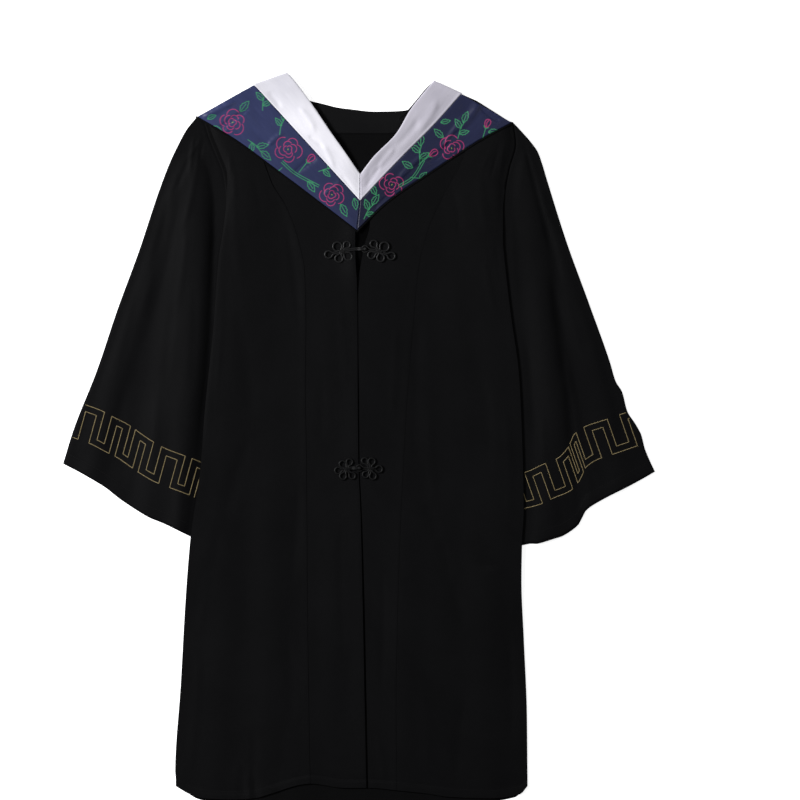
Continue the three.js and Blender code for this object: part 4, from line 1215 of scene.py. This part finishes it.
def loopPath(hub, loop):
    # A ring of cord with two cords side by side from its foot to the hub
    x, y, outerRadius = loop
    radius = outerRadius - cord["halfWidth"]
    reach = math.hypot(x - hub[0], y - hub[1])
    heading = math.atan2(y - hub[1], x - hub[0])
    c, s = math.cos(heading), math.sin(heading)
    foot = max(0.3 * reach, reach - radius - 1.6)
    aside = cord["apart"]

    def at(forward, sideways):
        return (hub[0] + c * forward - s * sideways, hub[1] + s * forward + c * sideways, restHeight)

    angles = heading + (math.pi - cord["open"]) * np.linspace(-1, 1, 17)
    ring = [(x + radius * math.cos(angle), y + radius * math.sin(angle), restHeight) for angle in angles]
    return [at(-1.2, 0), at(0.5, -0.9 * aside), at(foot, -aside), *ring, at(foot, aside),
            at(0.5, 0.9 * aside)]


def overHub(path, hub, i):
    # Loops cross at the hub, so each lies a little higher there than the last
    lift = cord["over"] * (i % 3)
    return [(x, y, z + lift * math.exp(-((x - hub[0])**2 + (y - hub[1])**2) / 30)) for x, y, z in path]


# Sizes of the knot in shares of its radius
knot = {"points": 22, "sides": 7, "ring": 0.72, "cord": 0.3, "shifts": (-0.42, 0.42)}


def knotParts(centre, radius):
    # A button knot: cord wound round in three directions
    parts = []
    for axis in range(3):
        for shift in knot["shifts"]:
            a = np.linspace(0, 2 * np.pi, knot["points"], endpoint=False)
            ring = radius * knot["ring"] * math.sqrt(1 - (shift * 0.9) ** 2)
            level = np.full(len(a), shift * radius * 0.8)
            circle = np.roll(np.stack([ring * np.cos(a), ring * np.sin(a), level], axis=-1), axis, axis=1)
            tube = []
            for p, q in zip(circle, np.roll(circle, -1, axis=0)):
                t = (q - p) / np.linalg.norm(q - p)
                out = p - t * np.dot(p, t)
                out /= np.linalg.norm(out)
                aside = np.cross(t, out)
                for k in range(knot["sides"]):
                    angle = 2 * math.pi * k / knot["sides"]
                    toSkin = out * math.cos(angle) + aside * math.sin(angle)
                    tube.append(centre + p + toSkin * radius * knot["cord"])
            parts.append((tube, tubeFaces(len(a), knot["sides"], True)))
    return parts


def toKnot(hub, knotX, knotY):
    # The two cords from the left hub, up and over the eye to the knot
    over = restHeight + 2.3 * cord["halfHeight"]
    parts = []
    for off in (-1.35, 1.35):
        rising = restHeight + (over - restHeight) * 0.7
        steps = [(knotX - 12, off, restHeight + 0.2), (knotX - 9, off, rising), (knotX - 6.5, off, over),
                 (knotX - 1, off * 0.6, over)]
        path = [(hub[0], hub[1] + off, restHeight + 0.3)] + [(x, knotY + aside, z) for x, aside, z in steps]
        parts.append(cordMesh(path, False))
    return parts


def joinParts(parts):
    starts = np.cumsum([0] + [len(vertices) for vertices, _ in parts])
    faces = [tuple(i + start for i in f) for start, (_, partFaces) in zip(starts, parts) for f in partFaces]
    return np.concatenate([np.asarray(vertices) for vertices, _ in parts]) * mm, faces


def recalculate(piece):
    work = bmesh.new()
    work.from_mesh(piece.data)
    bmesh.ops.recalc_face_normals(work, faces=work.faces)
    work.to_mesh(piece.data)
    work.free()


for level, halves in loops.items():
    knotX, knotY = knots[level]
    for side, half in halves.items():
        hub = half["hub"]
        parts = [cordMesh(overHub(loopPath(hub, loop), hub, i), True)
                 for i, loop in enumerate(half["loops"])]
        if side == "Right":
            eye = (knotX, knotY, cord["eyeRadius"] + cord["halfWidth"])
            parts.append(cordMesh(loopPath(hub, eye), True))
        else:
            knotZ = restHeight - cord["halfHeight"] + cord["knotRadius"] + cord["knotLift"]
            parts += toKnot(hub, knotX, knotY)
            parts += knotParts(np.array([knotX, knotY, knotZ]), cord["knotRadius"])
        wrap = [(-5.5, 1.4, 1.0), (0, 0.6, 1.5), (5.5, -0.6, 1.0)]  # cord round the middle of the hub
        parts.append(cordMesh([(hub[0] + x, hub[1] + y, restHeight + z) for x, y, z in wrap], False))
        satin = "cordSatin" if level == "Top" else "cordDull"
        frog = addPiece(f"frog{level}{side}", *joinParts(parts), finishes[satin])
        recalculate(frog)
        putOn(frog, [f"frog_{level.lower()}_{side.lower()}"])
print("closures made")


# Stitches: a node tree lays small threads along a path

def stitchTree():
    tree = bpy.data.node_groups.new("stitchRun", "GeometryNodeTree")
    sockets = tree.interface
    sockets.new_socket(name="Path", in_out="INPUT", socket_type="NodeSocketGeometry")
    for name in ("Spacing", "Length", "Width", "Height", "Slant"):
        sockets.new_socket(name=name, in_out="INPUT", socket_type="NodeSocketFloat")
    sockets.new_socket(name="Thread", in_out="INPUT", socket_type="NodeSocketMaterial")
    sockets.new_socket(name="Stitches", in_out="OUTPUT", socket_type="NodeSocketGeometry")
    given = tree.nodes.new("NodeGroupInput").outputs
    points = addNode(tree, "GeometryNodeCurveToPoints", {"mode": "LENGTH"}, i0=given["Path"],
                     Length=given["Spacing"])
    aligned = addNode(tree, "FunctionNodeAlignRotationToVector", {"axis": "X"},
                      Vector=points.outputs["Tangent"])
    turn = addNode(tree, "ShaderNodeCombineXYZ", Z=given["Slant"])
    slant = addNode(tree, "FunctionNodeEulerToRotation", i0=turn.outputs[0])
    rotated = addNode(tree, "FunctionNodeRotateRotation", {"rotation_space": "LOCAL"},
                      i0=aligned.outputs[0], i1=slant.outputs[0])
    thread = addNode(tree, "GeometryNodeMeshUVSphere", Segments=6, Rings=4, Radius=0.5)
    size = addNode(tree, "ShaderNodeCombineXYZ", X=given["Length"], Y=given["Width"], Z=given["Height"])
    laid = addNode(tree, "GeometryNodeInstanceOnPoints", Points=points.outputs["Points"],
                   Instance=thread.outputs["Mesh"], Rotation=rotated.outputs[0], Scale=size.outputs[0])
    rounded = addNode(tree, "GeometryNodeSetShadeSmooth", i0=laid.outputs[0])
    real = addNode(tree, "GeometryNodeRealizeInstances", i0=rounded.outputs[0])
    painted = addNode(tree, "GeometryNodeSetMaterial", i0=real.outputs[0], Material=given["Thread"])
    addNode(tree, "NodeGroupOutput", i0=painted.outputs[0])
    return tree


stitchRun = stitchTree()
# Sizes of the stitches in metres, slant in radians
sewing = {"Spacing": 0.0032, "Length": 0.0024, "Width": 0.0005, "Height": 0.0004}
couching = {"Spacing": 0.00095, "Length": 0.0021, "Width": 0.0009, "Height": 0.0008, "Slant": 0.75}


def stitchPiece(name, paths, sizes, material):
    # Paths are lists of points in mm; the result is a plain mesh
    curve = bpy.data.curves.new(name + "Path", "CURVE")
    curve.dimensions = "3D"
    for path in paths:
        spline = curve.splines.new("POLY")
        spline.points.add(len(path) - 1)
        places = np.column_stack([np.asarray(path) * mm, np.ones(len(path))])
        spline.points.foreach_set("co", places.ravel())
    source = linkPiece(name + "Source", curve)
    modifier = source.modifiers.new("stitches", "NODES")
    modifier.node_group = stitchRun
    values = {"Thread": material, **sizes}
    for socket in stitchRun.interface.items_tree:
        if socket.in_out == "INPUT" and socket.name in values:
            modifier[socket.identifier] = values[socket.name]
    mesh = bpy.data.meshes.new_from_object(source.evaluated_get(bpy.context.evaluated_depsgraph_get()))
    mesh.name = name
    piece = linkPiece(name, mesh)
    bpy.data.objects.remove(source)
    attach(piece, "root")
    return piece


def onTop(points, tree, lift=0.1):
    # Places lifted onto a piece, where it lies below them
    heights = [topHeight([tree], x, y) for x, y in points]
    return [(x, y, z + lift) for (x, y), z in zip(points, heights) if z is not None]


# The key pattern of each sleeve: middle line of the band, and where its upright legs stand
keyBand = {
    "legHeight": 47.0, "ribbon": 10.5, "tight": 18,  # legs closer than this have a narrower ribbon
    "step": 2.0, "lift": 0.12, "edgeGap": 1.2, "tuck": 8,
}
keyShapes = {
    "left": {
        "middle": [[-500, 48], [-476, 38], [-458, 31], [-429.5, 20.4], [-407, 8.5], [-387, -1.7],
                   [-369, -14.2], [-349.5, -27.6], [-325.5, -41], [-297, -52], [-275.5, -60],
                   [-250, -72]],
        "legs": [-480, -458, -429.5, -407, -387, -368.5, -349, -325.5, -297, -275.5, -257],
        "lean": (0.265, 0.964),
    },
    "right": {
        "middle": [[240, -92], [262, -85], [286, -78.6], [310, -67.5], [336.6, -56], [351, -40.7],
                   [357, -29], [363, -17], [383, -4], [411, 5.4], [441.7, 16], [480, 28]],
        "legs": [263, 286, 310, 336.6, 351, 357, 363.5, 383, 411, 441.7, 470],
        "lean": (-0.33, 0.944),
    },
}


def keyLines(shape):
    # The two edges of a ribbon that runs up and down its legs in turn, the first leg downwards
    legs, half, reach = shape["legs"], keyBand["ribbon"] / 2, keyBand["legHeight"] / 2
    lines = []
    for offset in (half, -half):
        corners = []
        for i, leg in enumerate(legs):
            nearest = min(abs(leg - other) for other in legs if other != leg)
            x = leg + offset * (1 if i % 2 == 0 else -1) * min(1.0, nearest / keyBand["tight"])
            ends = [(x, reach + offset), (x, -reach + offset)]
            corners += ends if i % 2 == 0 else ends[::-1]
        points = []
        for (x0, w0), (x1, w1) in zip(corners[:-1], corners[1:]):
            steps = max(2, int(math.hypot(x1 - x0, w1 - w0) / keyBand["step"]))
            points += [(x0 + (x1 - x0) * k / steps, w0 + (w1 - w0) * k / steps) for k in range(steps)]
        x, w = np.array(points + [corners[-1]]).T
        leanX, leanY = shape["lean"]
        lines.append(np.stack([x + leanX * w, along(shape["middle"], x) + leanY * w], axis=-1))
    return lines


for side in ("left", "right"):
    paths = []
    for line in keyLines(keyShapes[side]):
        x, y = line.T
        fromOuter = outwards[side] * (along(sleeveShapes[side]["outer"], y) - x)
        fromBody = outwards[side] * (x - along(bodyEdges[f"{side}Side"], y))
        runs = [[]]
        for place, shown in zip(line, (fromOuter > keyBand["edgeGap"]) & (fromBody > -keyBand["tuck"])):
            z = topHeight([sleeveTrees[side]], *place) if shown else None
            if z is None:
                runs.append([])
            else:
                runs[-1].append((*place, z + keyBand["lift"]))
        paths += [run for run in runs if len(run) > 3]
    stitchPiece(f"keyPattern{side.title()}", paths, couching, finishes["goldThread"])
print("key pattern made")


# Stitching of the hems and cuffs

hemPaths = []
for panel, points in frontGrids.items():
    line = []
    for column in np.swapaxes(points, 0, 1)[1:-1]:
        # the point of the column nearest to the hem's depth above the lower edge
        low = column[-1, 1]
        nearest = column[np.argmin(np.abs(column[:, 1] - low - cloth["hemDepth"]))]
        line.append((nearest[0], low + cloth["hemDepth"]))
    hemPaths.append(onTop(softLine(line, np.linspace(0, 1, 90)), frontTrees[panel]))
stitchPiece("hemStitches", hemPaths, sewing, finishes["blackThread"])

for side in ("left", "right"):
    top = sleeveTops[side][:, 6:-1]
    fromCuff = np.linalg.norm(top[..., :2] - top[-1:, :, :2], axis=-1)
    rows = np.argmin(np.abs(fromCuff - cloth["hemDepth"] - sleeve["cuffFrom"]), axis=0)
    line = top[rows, np.arange(len(rows)), :2]
    path = onTop(softLine(line, np.linspace(0, 1, 140)), sleeveTrees[side])
    stitchPiece(f"cuffStitches{side.title()}", [path], sewing, finishes["blackThread"])
print("stitches made")


# Floor, lights and camera

studio = {
    "floor": 6.0, "drop": 0.0004,  # half the floor's side, and how far it lies below the cloth
    "sky": (0.96, 0.98, 1.0, 1), "skyStrength": 0.10,
    "centre": (0.0672, 0.0656), "span": 1.3113, "height": 8.0,  # of the camera's view
}
lights = {  # place, width and length, power
    "keyLight": ((-3.4, 1.1, 2.5), (1.2, 1.2), 285),
    "fillLight": ((1.4, 0.6, 3.0), (1.6, 1.6), 18),
}

floorMaterial, floorTree, floorShader = newMaterial("paleFloor")
setInputs(floorTree, floorShader, Base_Color=(0.9, 0.9, 0.9, 1), Roughness=0.9, Specular_IOR_Level=0.1,
          Emission_Color=(1, 1, 1, 1), Emission_Strength=0.75)
reach, drop = studio["floor"], studio["drop"]
corners = [(-reach, -reach, -drop), (reach, -reach, -drop), (reach, reach, -drop), (-reach, reach, -drop)]
floor = addPiece("floor", corners, [(0, 1, 2, 3)], floorMaterial)

world = bpy.data.worlds.new("studio")
bpy.context.scene.world = world
world.use_nodes = True
sky = world.node_tree.nodes["Background"]
sky.inputs["Color"].default_value = studio["sky"]
sky.inputs["Strength"].default_value = studio["skyStrength"]

for name, (place, size, power) in lights.items():
    data = bpy.data.lights.new(name, "AREA")
    data.shape = "RECTANGLE"
    data.size, data.size_y = size
    data.energy = power
    light = linkPiece(name, data)
    light.location = place
    light.rotation_euler = (-Vector(place)).to_track_quat("-Z", "Y").to_euler()  # at the middle of the gown

cameraData = bpy.data.cameras.new("camera")
cameraData.lens = cameraData.sensor_width * studio["height"] / studio["span"]
cameraData.clip_end = 100
camera = linkPiece("camera", cameraData)
camera.location = (*studio["centre"], studio["height"])
bpy.context.scene.camera = camera
bpy.context.scene.view_settings.view_transform = "Standard"
print("floor, lights and camera made")
